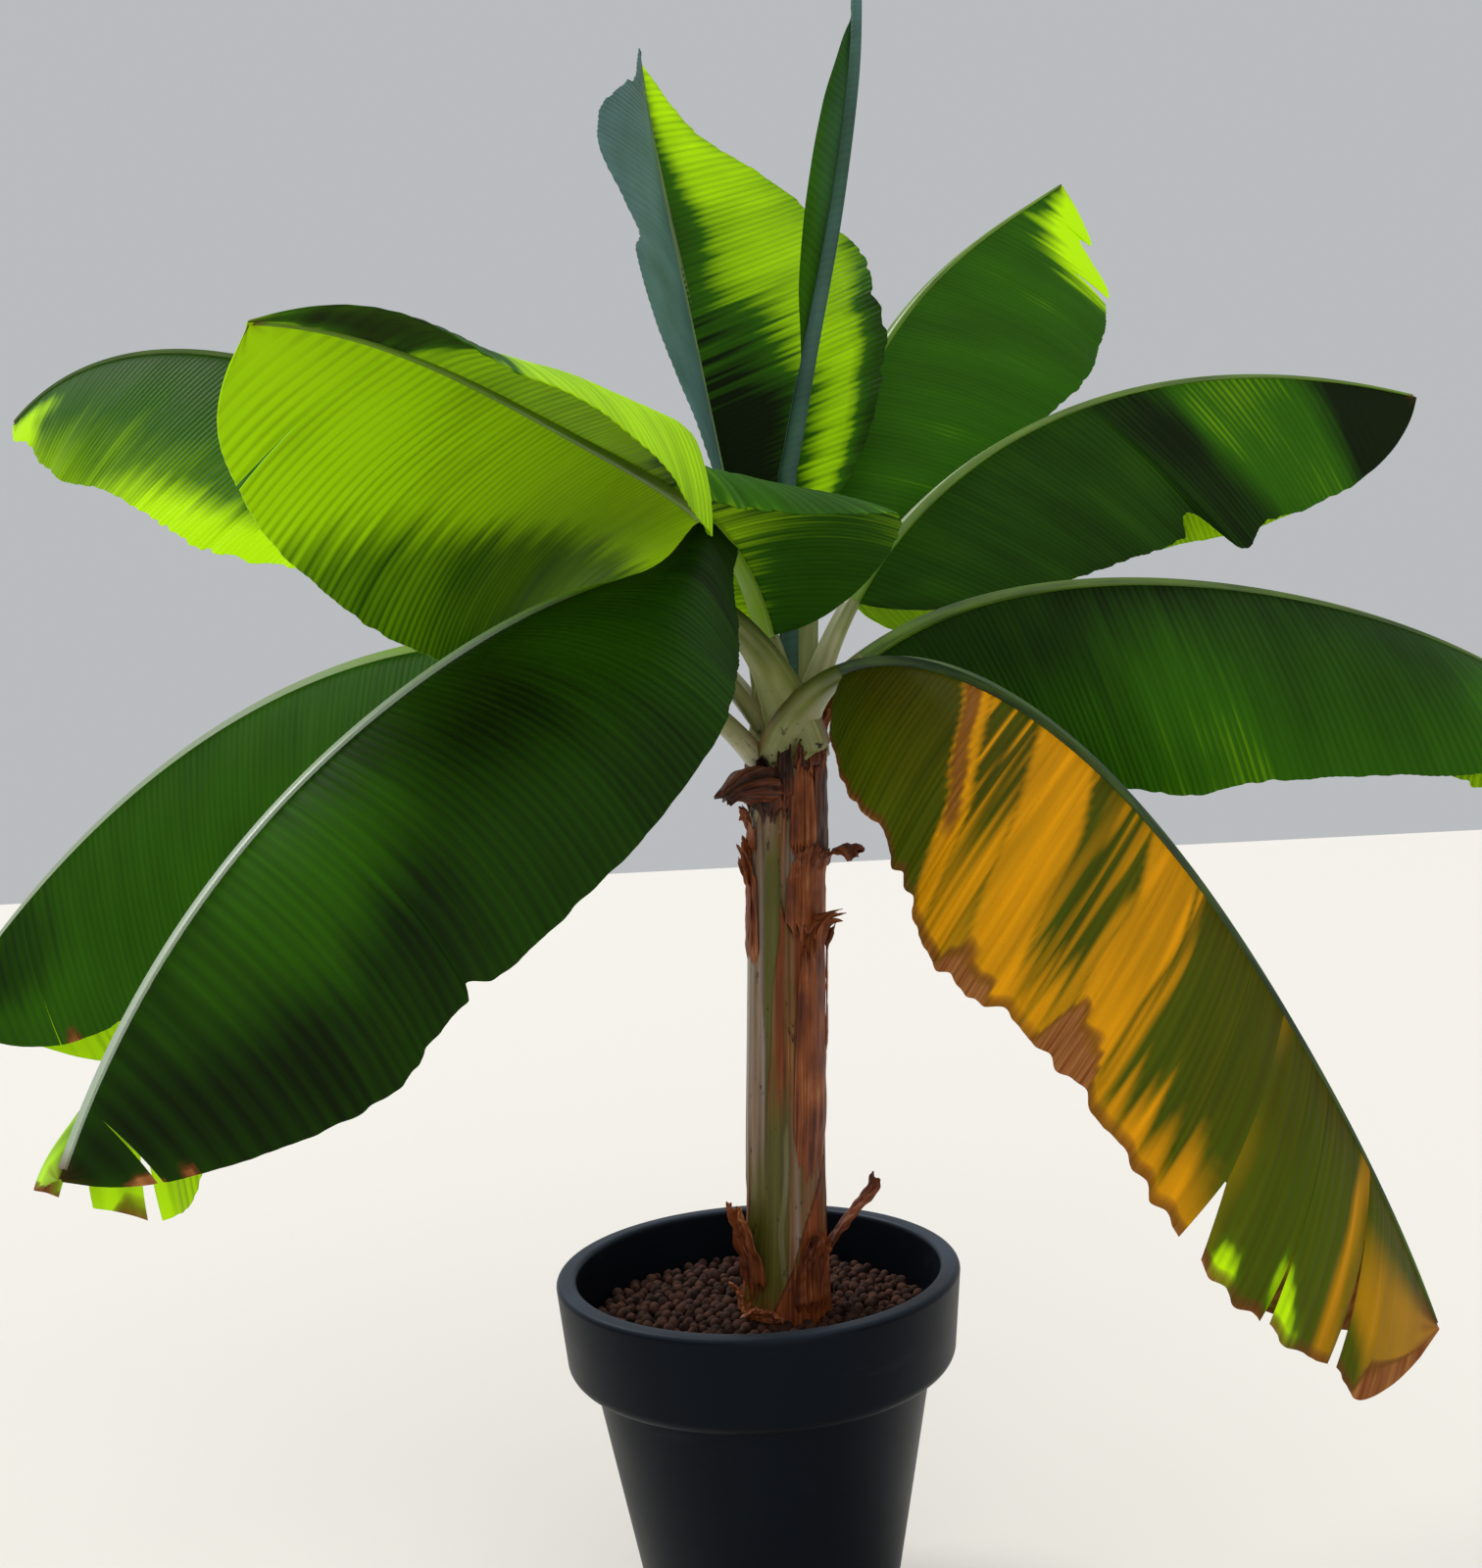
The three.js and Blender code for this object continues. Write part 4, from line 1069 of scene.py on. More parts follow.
def stalk_values(rings, distances, tone, spots, dry):
    """Colour and place attributes of a stalk: places run round it and along it, in metres."""
    size = rings.shape[:2]
    around = np.arange(size[1]) / size[1] * 0.1
    place = np.stack(np.broadcast_arrays(around, 0, np.asarray(distances)[:, None] * MM), -1)
    parts = [np.broadcast_to(np.reshape(value, (-1, 1)), size) for value in (tone, spots, dry, 1)]
    return dict(stalk_tint=np.stack(parts, -1), stalk_place=place)


RIB_ROWS = 90
# The rib ends just short of the blade's tip.
RIB_END = 0.995
# How far apart two leaves lie in the third number of their places, in metres.
LEAF_APART = 0.37


def build_leaf(name, index):
    """One leaf blade with its rib, as one mesh over its solid."""
    leaf = LEAVES[name]
    frame_at = leaf_path(leaf)
    shape = Shape()
    for number, half_name in enumerate(("left", "right")):
        look = PLAIN | LOOKS[name][half_name]
        seed = 100 + index * 20 + number * 10
        grid, m, u, width, kept = half_blade(leaf, look, half_name, frame_at, seed)
        tint = paint_half(look, m, u, seed)
        across = u * width * MM * (1 if half_name == "left" else -1)
        place = np.stack(np.broadcast_arrays(m * leaf["blade"] * MM, across, index * LEAF_APART), -1)
        if half_name == "left":
            grid, tint, place, kept = (rows[:, ::-1] for rows in (grid, tint, place, kept))
        add_sheet(
            shape, grid * MM, settings().leaf.thickness, (0, 1), kept, leaf_tint=tint, leaf_place=place,
            stalk_tint=np.zeros_like(tint), stalk_place=np.zeros_like(place),
        )
    shares = np.linspace(0, RIB_END, RIB_ROWS)
    distances = leaf["petiole"] + shares * leaf["blade"]
    slimmer = 1 - np.exp(-LOOKS[name].get("slim", RIB_SLIM) * shares)
    half_widths = lerp(PETIOLE_END[0], RIB_TIP[0], slimmer)
    depths = lerp(PETIOLE_END[1], RIB_TIP[1], shares ** 0.7)
    rings = limb_rings(frame_at, distances, half_widths, depths) * MM
    tone = lerp(*LOOKS[name]["rib"], smooth(0.1, 0.5, shares))
    values = stalk_values(rings, distances, tone, 0, smooth(0.985, 1.0, shares))
    blank = np.zeros((*rings.shape[:2], 4))
    add_tube(shape, rings, 2, **values, leaf_tint=blank, leaf_place=blank[..., :3])
    finishes = [finish_of(finish) for finish in ("blade_upper", "blade_lower", "rib")]
    piece = shape.build(f"blade_{name}", finishes, 60)
    slots = {node["node"]: node["material_slot"] for node in frame["record"]["subparts"]}
    place_piece(piece, slots[f"leaf_{name}"], f"leaf_{name}")


def stem_radius(z):
    """The pseudostem's radius at a height, in millimetres, as in its solid."""
    up = z - STEM_FOOT[2]
    share = np.clip(up / (STEM_TOP[2] - STEM_FOOT[2]), 0, 1)
    flare = STEM_FLARE * np.exp(-np.maximum(up, 0) / STEM_FLARE_HEIGHT)
    shoulder = np.clip((z - STEM_TOP[2] + STEM_SHOULDER) / STEM_SHOULDER, 0, 1) ** 2
    return STEM_RADIUS + flare - STEM_TAPER * share - STEM_SHOULDER_TAPER * shoulder


def beside_stem(z, angle, off):
    """Points at angles round the pseudostem, off its surface, in millimetres."""
    centre = lerp(STEM_FOOT, STEM_TOP, np.expand_dims((z - STEM_FOOT[2]) / (STEM_TOP[2] - STEM_FOOT[2]), -1))
    reach = stem_radius(z) + off
    x, y = centre[..., 0] + reach * np.cos(angle), centre[..., 1] + reach * np.sin(angle)
    return np.stack(np.broadcast_arrays(x, y, z), -1)


# Sheaths round the pseudostem, inner ones first: middle and half width in degrees round it, turn over its
# height, foot and top in millimetres, how pale, how dead and how thick in millimetres each is, and slant,
# by how many millimetres its top rises with each degree.
SHEATH_LAYERS = (
    dict(middle=236, half=66, turn=0, foot=0, top=1200, tone=0.28, dead=0.0, thick=1.0),
    # The second sheath, a narrow pale stripe, is a cream stripe of the sheath and partly a painted highlight.
    dict(middle=268, half=6, turn=4, foot=360, top=620, tone=0.7, dead=0.05, thick=0.3),
    dict(middle=302, half=27, turn=4, foot=360, top=760, tone=0.7, dead=0.55, thick=0.5),
    dict(middle=330, half=14, turn=0, foot=360, top=760, tone=0.9, dead=0.75, thick=0.6),
    dict(middle=80, half=78, turn=25, foot=0, top=1200, tone=0.5, dead=0.35, thick=1.6),
    dict(middle=290, half=30, turn=0, foot=830, top=1200, tone=0.8, dead=0.55, thick=1.0),
    dict(middle=246, half=34, turn=8, foot=900, top=1200, tone=0.7, dead=0.8, thick=0.9),
    dict(middle=172, half=30, turn=0, foot=0, top=900, tone=0.4, dead=0.9, thick=1.2),
    dict(middle=208, half=29, turn=-14, foot=500, top=990, tone=0.85, dead=0.35, thick=2.2),
    dict(middle=306, half=60, turn=38, foot=590, top=853, tone=0.4, dead=1.0, thick=2.0),
    dict(middle=6, half=28, turn=0, foot=0, top=880, tone=0.5, dead=1.0, thick=1.2),
    dict(middle=325, half=74, turn=0, foot=300, top=541, tone=0.3, dead=1.0, thick=1.8, slant=1.9),
)
SHEATH_RIM = 2.4
SHEATH_FADE = 100
# Long and short teeth of a torn top, in millimetres. A slanted top is cut straighter.
TOP_TEETH = (44, 16)
SLANTED_TEETH = 0.3
STEM_COLUMNS = 240
STEM_ROWS = 360
# The core lies this far inside the solid, and the mesh starts this far below it in the bed.
STEM_INSIDE = 4.2
STEM_SUNK = 6
STEM_RIBS = 0.9
STEM_FOLDS = 1.4


def round_angles(count):
    """So many angles evenly round a circle, in radians."""
    return np.arange(count) / count * 2 * np.pi


def build_pseudostem():
    """The pseudostem as one mesh: overlapping sheaths whose edges run up it and whose tops are torn."""
    angle = round_angles(STEM_COLUMNS)[None, :]
    degrees = np.degrees(angle)
    share = np.linspace(0, 1, STEM_ROWS)[:, None]
    z = lerp(STEM_FOOT[2] - STEM_SUNK, STEM_TOP[2], share) + 0 * angle
    off = np.full_like(z, -STEM_INSIDE)
    tone = np.full_like(z, 0.5)
    dead, dark = np.zeros_like(z), np.zeros_like(z)
    stripes = 0.6 * grain(degrees / 9, z / 400, 30) + 0.4 * grain(degrees / 3, z / 260, 32)
    for number, layer in enumerate(SHEATH_LAYERS):
        wobble = (grain(z / 70, 0, 40 + number) - 0.5) * 9
        middle = layer["middle"] + layer["turn"] * (share - 0.5) + wobble
        reach = layer["half"] - np.abs((degrees - middle + 180) % 360 - 180)
        teeth = TOP_TEETH[0] * (grain(degrees / 9, 0, 60 + number) - 0.5)
        teeth = teeth + TOP_TEETH[1] * (grain(degrees / 2.2, 0, 75 + number) - 0.5)
        teeth = teeth * (SLANTED_TEETH if "slant" in layer else 1)
        below = layer["top"] + layer.get("slant", 0) * (degrees - middle) + teeth - z
        inside = smooth(0, 2, reach) * smooth(0, 3, below) * smooth(0, SHEATH_FADE, z - layer["foot"])
        off = off + inside * layer["thick"]
        tone = lerp(tone, layer["tone"] + 0.6 * (stripes - 0.5), inside)
        dead = lerp(dead, layer["dead"] - 0.5 * smooth(0.5, 0.75, stripes) * (layer["dead"] > 0), inside)
        rim = np.maximum(smooth(SHEATH_RIM + 1, SHEATH_RIM - 1, reach), smooth(11, 3, below))
        dark = np.maximum(dark * (1 - inside), inside * rim * (0.36 + 0.405 * min(1, layer["thick"])))
    # Lengthwise ribs, and folds that crumple the dead sheaths.
    ribs = grain(degrees / 2.4, z / 340, 31) - 0.5
    folds = grain(degrees / 6, z / 26, 33) - 0.5
    off = off + ribs * STEM_RIBS + folds * dead * STEM_FOLDS
    dead = np.clip(dead + smooth(STEM_FOOT[2] + 60, STEM_FOOT[2], z) * 0.5, 0, 1)
    radius = STEM_RADIUS * MM
    place = np.stack(np.broadcast_arrays(radius * np.cos(angle), radius * np.sin(angle), z * MM), -1)
    tint = np.stack([tone, dead, dark, np.ones_like(tone)], -1)
    shape = Shape()
    add_tube(shape, beside_stem(z, angle, off) * MM, stalk_tint=tint, stalk_place=place)
    piece = shape.build("sheathed_pseudostem", [finish_of("sheath")])
    place_piece(piece, "sheath", "pseudostem")


PETIOLE_ROWS = 46
SHEATH_ROWS = 18
# Each petiole's own sheath starts this far below its foot, a little more for each leaf, and wraps this many
# degrees of the pseudostem on each side. It lies a little outside the one before.
SHEATH_DROP = 62
SHEATH_DROP_STEP = 3
SHEATH_HALF_WRAP = 44
SHEATH_OFF = 1.0
SHEATH_OFF_STEP = 0.35
SHEATH_INSIDE = 1.6
SHEATH_SUNK = 6
FAN_WIDTH = 15
FAN_REACH = 95
# Petioles lie this many millimetres apart in their places, so that no two have the same pattern.
PETIOLE_APART = 700


def petiole_sheath(leaf, index, top):
    """Rings of a petiole's own sheath, from its torn foot up to top, the petiole's first ring."""
    x, y = RIB_SECTION.T
    heading = math.radians(leaf["heading"][0])
    rings = []
    for share in np.linspace(0, 1, SHEATH_ROWS)[:-1]:
        z = leaf["foot"][2] - (SHEATH_DROP + index * SHEATH_DROP_STEP) * (1 - share)
        wrap = math.radians(SHEATH_HALF_WRAP) * (1 - 0.35 * share)
        sunk = smooth(0.5, 0.1, share + 0.5 * (grain(x * 3 + 30, 0, 500 + index) - 0.5))
        off = np.where(y < 0.1, SHEATH_OFF + index * SHEATH_OFF_STEP, -SHEATH_INSIDE) - SHEATH_SUNK * sunk
        ring = beside_stem(np.minimum(z, STEM_TOP[2]), heading - x * wrap, off)
        ring[:, 2] = z + (top[:, 2] - leaf["foot"][2]) * share ** 2
        rings.append(lerp(ring, top, smooth(0.25, 1.0, share)))
    return np.array(rings)


def build_petiole(name, index):
    """A petiole that rises out of its own sheath, which wraps the pseudostem under it."""
    leaf = LEAVES[name]
    shares = np.linspace(0, 1, PETIOLE_ROWS)
    distances = shares * leaf["petiole"]
    half_widths = lerp(PETIOLE_BASE[0], PETIOLE_END[0], shares ** PETIOLE_TAPER)
    half_widths = half_widths + FAN_WIDTH * np.exp(-(distances / FAN_REACH) ** 2)
    depths = lerp(PETIOLE_BASE[1], PETIOLE_END[1], shares ** PETIOLE_TAPER)
    rings = limb_rings(leaf_path(leaf), distances, half_widths, depths)
    rings = np.concatenate([petiole_sheath(leaf, index, rings[0]), rings])
    along = np.concatenate([(np.linspace(0, 1, SHEATH_ROWS)[:-1] - 1) * SHEATH_DROP, distances])
    spots = smooth(110, 10, along) * smooth(-60, -20, along)
    dry = smooth(-30, -60, along) * 0.8
    tone = 0.75 - 0.45 * smooth(0, leaf["petiole"], along) + 0.15 * math.sin(index * 2.3)
    values = stalk_values(rings, along + index * PETIOLE_APART, tone, spots, dry)
    # The thin margins of the channel wither first, near the foot.
    x, y = RIB_SECTION.T
    margin = smooth(0.84, 1.0, np.abs(x)) * smooth(-0.2, 0.2, y) * smooth(120, 20, along)[:, None] * 0.8
    values["stalk_tint"][..., 2] = np.maximum(values["stalk_tint"][..., 2], margin)
    shape = Shape()
    add_tube(shape, rings * MM, **values)
    piece = shape.build(f"stalk_{name}", [finish_of("petiole")])
    place_piece(piece, "petiole", f"petiole_{name}")


def swell(share, limits):
    """0 outside the limits' first two shares and up to their third number between them."""
    start, end, most = limits
    return most * np.sin(np.pi * np.clip((share - start) / (end - start), 0, 1)) ** 0.8


def spline(points, steps):
    """A Catmull-Rom curve through the points."""
    line = np.array(points, float)
    ends = np.vstack([2 * line[0] - line[1], line, 2 * line[-1] - line[-2]])
    t = (np.arange(steps) / steps)[:, None]
    parts = []
    for a, b, c, d in zip(ends, ends[1:], ends[2:], ends[3:]):
        parts.append(0.5 * (
            2 * b + (c - a) * t + (2 * a - 5 * b + 4 * c - d) * t ** 2 + (3 * b - a - 3 * c + d) * t ** 3
        ))
    return np.vstack(parts + [line[-1:]])


# Of the rolled leaf's sheet, the first share is its free edge. The rest winds so many degrees round the
# roll, ever tighter by the given share of its radius.
ROLLED_FREE_SHARE = 0.4
ROLLED_WIND = 560
ROLLED_TIGHTENING = 0.2
# Where its edge isn't free, it closes round the last of the roll, through these degrees and a little outside.
ROLLED_CLOSED = 80
ROLLED_OUTSIDE = 1.06
ROLLED_COLUMNS = 52


def build_rolled_leaf():
    """The new leaf, still rolled: turns of blade over each other, with a free wavy edge on one side."""
    centres = spline(ROLLED_LINE, 30)
    share = np.linspace(0, 1, len(centres))[:, None]
    along = unit(np.gradient(centres, axis=0))
    back = unit(np.array([0, 1.0, 0]) - along * along[:, 1:2])
    right = unit(np.cross(back, along))
    radius = lerp(ROLLED_RADIUS[0] - 1.5, ROLLED_RADIUS[1], share ** 1.4)
    turn = np.linspace(0, 1, ROLLED_COLUMNS)[None, :]
    free = np.clip(1 - turn / ROLLED_FREE_SHARE, 0, 1)
    rolled = np.clip((turn - ROLLED_FREE_SHARE) / (1 - ROLLED_FREE_SHARE), 0, 1)
    angle = np.radians(90 - ROLLED_WIND * rolled)
    spiral = radius * (1 - ROLLED_TIGHTENING * rolled)
    closed = np.radians(90 + ROLLED_CLOSED * free)
    width = swell(share, ROLLED_FREE) * (1 + 0.24 * (grain(share * 16, 0, 21) - 0.5))
    opened = smooth(0, 12, width)
    wave = 7 * (grain(share * 13, free * 1.5, 22) - 0.5) * free
    edge_out = lerp(radius * ROLLED_OUTSIDE * np.cos(closed), -width * free, opened)
    edge_depth = lerp(radius * ROLLED_OUTSIDE * np.sin(closed), radius + wave, opened)
    out = np.where(free > 0, edge_out, spiral * np.cos(angle)) + swell(share, ROLLED_LEAN)
    depth = np.where(free > 0, edge_depth, spiral * np.sin(angle))
    grid = centres[:, None] + right[:, None] * out[..., None] + back[:, None] * depth[..., None]
    # The roll is dark and waxed, most of all towards its tip, and its free edge is painted lighter for the
    # light it lets through.
    loose = opened * smooth(0, 0.15, free)
    tone = lerp(0.12, 0.3, loose) + 0.16 * (grain(share * 20, turn * 6, 23) - 0.5)
    bloom = lerp(0.34, 0.06, loose) + 0.4 * smooth(0.5, 1.0, share) * (1 - loose)
    bloom = bloom - 0.3 * (grain(share * 6, turn * 3, 24) - 0.5)
    dry = smooth(0.985, 1.0, share) * 0.8
    tint = np.stack(np.broadcast_arrays(tone, bloom, 0, dry), -1)
    place = np.stack(np.broadcast_arrays(share + turn * 0.05, turn * 0.12, 0), -1)
    shape = Shape()
    add_sheet(shape, grid * MM, settings().leaf.thickness, (0, 0), leaf_tint=tint, leaf_place=place)
    piece = shape.build("rolled_leaf", [finish_of("blade_lower")], 60)
    place_piece(piece, "new_leaf", "rolled_new_leaf")


PAPER_ROWS = 60
PAPER_COLUMNS = 34
PAPER_THICKNESS = 1.1
PAPER_CRUMPLE = 4.4
# What a sheath gets where its entry doesn't say: millimetres off the pseudostem, and torn and roll.
PAPER_PLAIN = dict(off=1.6, torn=0.16, roll=9, dark=False)


def build_dry_sheath(name, given, index, node):
    """A dead sheath: a thin torn skin that hugs the pseudostem and then curls off it."""
    sheath = PAPER_PLAIN | given
    length, start, end = sheath["length"], *sheath["steps"]
    share = np.linspace(0, 1, PAPER_ROWS)
    free = np.clip((share - sheath["hug"]) / (1 - sheath["hug"]), 0, 1)
    lean = np.radians(bezier((0, *sheath["lean"]), free)) * (free > 0)
    step = length / (PAPER_ROWS - 1)
    foot = smooth(SCRAP_FOOT, 0, share)
    off = sheath["off"] + np.concatenate([[0], np.cumsum(np.sin(lean[1:]) * step)]) - SCRAP_SINK * foot
    z = sheath["foot"] + np.concatenate([[0], np.cumsum(np.cos(lean[1:]) * step)])
    shrink = np.where(free > 0, (stem_radius(sheath["foot"]) + off[0]) / (stem_radius(z) + off), 1)
    ragged = 1 - 0.3 * smooth(0.75, 1, share) * grain(share * 30, 0, 300 + index)
    width = (end - start) * lerp(1, sheath["tip"], share ** 2) * shrink * ragged * (1 - 0.25 * foot)
    across = np.linspace(-0.5, 0.5, PAPER_COLUMNS)[None, :]
    share, free, lean, foot = share[:, None], free[:, None], lean[:, None], foot[:, None]
    off, z, width = off[:, None], z[:, None], width[:, None]
    # Both ends are torn into teeth, and the margins of the free one roll in.
    pull = smooth(0.6, 1, share) * grain(across * 22 + 40, 0, 310 + index) * sheath["torn"] * length
    pull = pull - foot * grain(across * 17 + 60, 0, 340 + index) * FOOT_TEETH
    crumple = (grain(across * 9 + 20, share * 14, 320 + index) - 0.5) * PAPER_CRUMPLE * (0.4 + free)
    rolled = sheath["roll"] * np.abs(2 * across) ** 4 * free ** 0.5
    lift = crumple + rolled * (0.4 + grain(share * 5, 0, 330 + index))
    angle = ((start + end) / 2 + width * across) * STEM_STEP
    height = z - pull * np.cos(lean) - lift * np.sin(lean)
    grid = beside_stem(height, angle, off + lift * np.cos(lean) - pull * np.sin(lean))
    place = np.stack(np.broadcast_arrays(
        np.cos(angle) * 0.05, np.sin(angle) * 0.05, share * length * MM + index,
    ), -1)
    shape = Shape()
    add_sheet(shape, grid[:, ::-1] * MM, PAPER_THICKNESS * MM, (0, 0), stalk_place=place[:, ::-1])
    piece = shape.build(f"papery_{name}", [finish_of("dark_paper" if sheath["dark"] else "paper")], 70)
    place_piece(piece, "dry_sheath", node)


STUMP_ROWS = 70
STUMP_COLUMNS = 64
STUMP_HALF_WIDTH = 19
STUMP_HALF_DEPTH = 15
STUMP_FRAY = 16


def build_stump():
    """The withered stump of an old petiole: shrunken to dark ridged fibres and frayed at its end."""
    m = np.linspace(0, 1, STUMP_ROWS)[:, None]
    point, along, side, normal = leaf_path(STUMP)(m[:, 0] * STUMP["petiole"])
    angle = round_angles(STUMP_COLUMNS)[None, :]
    around = angle / (2 * np.pi)
    fibres = grain(around * 30, m * 2.5, 402) - 0.5
    knots = grain(around * 8, m * 7, 403) - 0.5
    bulge = 0.7 + 0.75 * np.sin(np.pi * np.clip(m * 1.1, 0, 1)) ** 1.5
    size = bulge * (1 + 0.5 * fibres + 0.35 * knots)
    out = STUMP_HALF_WIDTH * size * np.cos(angle)
    high = STUMP_HALF_DEPTH * size * np.sin(angle)
    # The end frays: every fibre ends at a length of its own.
    frayed = smooth(0.75, 1, m) * STUMP_FRAY * (grain(around * 40, 0, 404) - 0.6)
    rings = (
        point[:, None] + side[:, None] * out[..., None] + normal[:, None] * high[..., None]
        + along[:, None] * frayed[..., None]
    )
    place = np.stack(np.broadcast_arrays(
        0.05 * np.cos(angle), 0.05 * np.sin(angle), m * STUMP["petiole"] * MM,
    ), -1)
    shape = Shape()
    add_tube(shape, rings * MM, stalk_place=place)
    piece = shape.build("withered_stump", [finish_of("dark_paper")])
    place_piece(piece, "dry_sheath", "dry_petiole_stump")


def arc_points(centre_r, centre_z, radius, start, end, steps):
    """Points of (radius, height) on an arc round a centre, from one angle in degrees to another."""
    angles = np.radians(np.linspace(start, end, steps + 1))
    return [(centre_r + radius * math.cos(a), centre_z + radius * math.sin(a)) for a in angles]


def pot_inside(z):
    """The pot's inner radius at a height, in millimetres."""
    return lerp(POT_FOOT_RADIUS - POT_WALL, POT_RIM_RADIUS - POT_LIP_WIDTH, z / POT_HEIGHT)


def lathe(shape, profile, sides):
    """A profile of (radius, height) in millimetres turned round the upright axis and closed at both ends."""
    angle = round_angles(sides)
    radius, height = np.array(profile, float).T[..., None]
    rings = np.stack(np.broadcast_arrays(radius * np.cos(angle), radius * np.sin(angle), height), -1)
    add_tube(shape, rings * MM)


def build_pot():
    """The pot: a tapered body under a deep collar, with a rolled lip, turned in one piece."""
    collar_foot = POT_HEIGHT - POT_COLLAR_HEIGHT
    lip_z = POT_HEIGHT - POT_LIP_ROUND
    inner_lip = POT_RIM_RADIUS - POT_LIP_WIDTH + POT_LIP_ROUND
    profile = [
        *arc_points(POT_FOOT_RADIUS - POT_FOOT_ROUND, POT_FOOT_ROUND, POT_FOOT_ROUND, -90, 0, 6),
        (POT_BODY_TOP_RADIUS, collar_foot + POT_COLLAR_ROUND / 2),
        *arc_points(
            POT_COLLAR_FOOT_RADIUS - POT_COLLAR_ROUND, collar_foot + POT_COLLAR_ROUND, POT_COLLAR_ROUND,
            -90, 0, 10,
        ),
        *arc_points(POT_RIM_RADIUS - POT_LIP_ROUND, lip_z, POT_LIP_ROUND, 0, 90, 8),
        *arc_points(inner_lip, lip_z, POT_LIP_ROUND, 90, 180, 8),
        (pot_inside(POT_FLOOR), POT_FLOOR),
    ]
    shape = Shape()
    lathe(shape, profile, settings().pot.sides)
    piece = shape.build("collared_pot", [finish_of("pot")], 40)
    place_piece(piece, "pot", "pot")


# The substrate's top lies this far below the bed's, and its sides clear the pot's wall by these millimetres.
BED_SINK = 9
BED_CLEARANCE = 1.5
BED_SIDES = 96
# Pebble centres keep this far from the wall. Each layer has its depth under the bed's top, in millimetres,
# and the most that a pebble of it is lifted, in metres.
BED_MARGIN = 7
PEBBLE_LAYERS = ((8, 0.003), (1, 0.004))
PEBBLE_SOCKETS = {
    "Smallest": "NodeSocketFloat", "Largest": "NodeSocketFloat", "Spacing": "NodeSocketFloat",
    "Rise": "NodeSocketFloat", "Seed": "NodeSocketInt", "Clay": "NodeSocketMaterial",
}
# More pebbles to the square metre than the spacing ever lets through.
PEBBLE_DENSITY = 60000.0


def pebble_tree():
    """Geometry nodes that scatter lumpy pebbles over a surface, and their inputs' identifiers by name."""
    tree = bpy.data.node_groups.new("clay_pebbles", "GeometryNodeTree")
    face = tree.interface
    face.new_socket("Surface", in_out="INPUT", socket_type="NodeSocketGeometry")
    names = {
        name: face.new_socket(name, in_out="INPUT", socket_type=kind).identifier
        for name, kind in PEBBLE_SOCKETS.items()
    }
    face.new_socket("Pebbles", in_out="OUTPUT", socket_type="NodeSocketGeometry")
    node = partial(add_node, tree)
    given = node("NodeGroupInput").outputs
    scattered = node("GeometryNodeDistributePointsOnFaces", {
        "Mesh": given["Surface"], "Distance Min": given["Spacing"], "Density Max": PEBBLE_DENSITY,
        "Seed": given["Seed"],
    }, distribute_method="POISSON")
    lift = node("FunctionNodeRandomValue", {"Max": given["Rise"], "Seed": 3}, data_type="FLOAT")
    settled = node("GeometryNodeSetPosition", {
        "Geometry": scattered, "Offset": node("ShaderNodeCombineXYZ", {"Z": lift}),
    })
    ball = node("GeometryNodeMeshIcoSphere", {"Radius": 0.5, "Subdivisions": 2})
    turn = node("FunctionNodeRandomValue", {
        "Min": (0.0, 0.0, 0.0), "Max": (6.28, 6.28, 6.28), "Seed": 4,
    }, data_type="FLOAT_VECTOR")
    size = node("FunctionNodeRandomValue", {
        "Min": given["Smallest"], "Max": given["Largest"], "Seed": 5,
    }, data_type="FLOAT")
    uneven = node("FunctionNodeRandomValue", {
        "Min": (0.82, 0.82, 0.78), "Max": (1.12, 1.12, 1.0), "Seed": 6,
    }, data_type="FLOAT_VECTOR")
    placed = node("GeometryNodeInstanceOnPoints", {
        "Points": settled, "Instance": ball, "Rotation": turn,
        "Scale": node("ShaderNodeVectorMath", {0: uneven, "Scale": size}, operation="SCALE"),
    })
    real = node("GeometryNodeRealizeInstances", {"Geometry": placed})
    smoothed = node("GeometryNodeSetShadeSmooth", {"Geometry": real})
    dressed = node("GeometryNodeSetMaterial", {"Geometry": smoothed, "Material": given["Clay"]})
    node("NodeGroupOutput", {"Pebbles": dressed})
    return tree, names


def bed_disc(name, z, radius):
    """A plain disc at a height, in millimetres, that the pebbles are strewn on."""
    rings, sides = 8, 72
    angle = round_angles(sides)
    reach = np.linspace(radius / rings, radius, rings)[:, None]
    points = np.stack(np.broadcast_arrays(reach * np.cos(angle), reach * np.sin(angle), z), -1)
    quads, at, after = ring_faces(rings, sides)
    fan = np.stack([np.full(sides, rings * sides), at[0], after[0]], -1)
    shape = Shape()
    shape.add(np.concatenate([points.reshape(-1, 3), [[0, 0, z]]]) * MM, quads[:, [0, 3, 2, 1]], fan)
    return shape.build(name, [])


def strewn(name, surface, rise, seed):
    """The surface's pebbles as a plain mesh."""
    look = settings().bed
    tree, names = pebble_tree()
    modifier = surface.modifiers.new("pebbles", "NODES")
    modifier.node_group = tree
    values = {
        "Smallest": look.small, "Largest": look.large, "Spacing": look.spacing, "Rise": rise,
        "Seed": seed, "Clay": finish_of("clay"),
    }
    for key, value in values.items():
        modifier[names[key]] = value
    bpy.context.view_layer.update()
    mesh = bpy.data.meshes.new_from_object(surface.evaluated_get(bpy.context.evaluated_depsgraph_get()))
    surface.modifiers.remove(modifier)
    return in_scene(name, mesh)


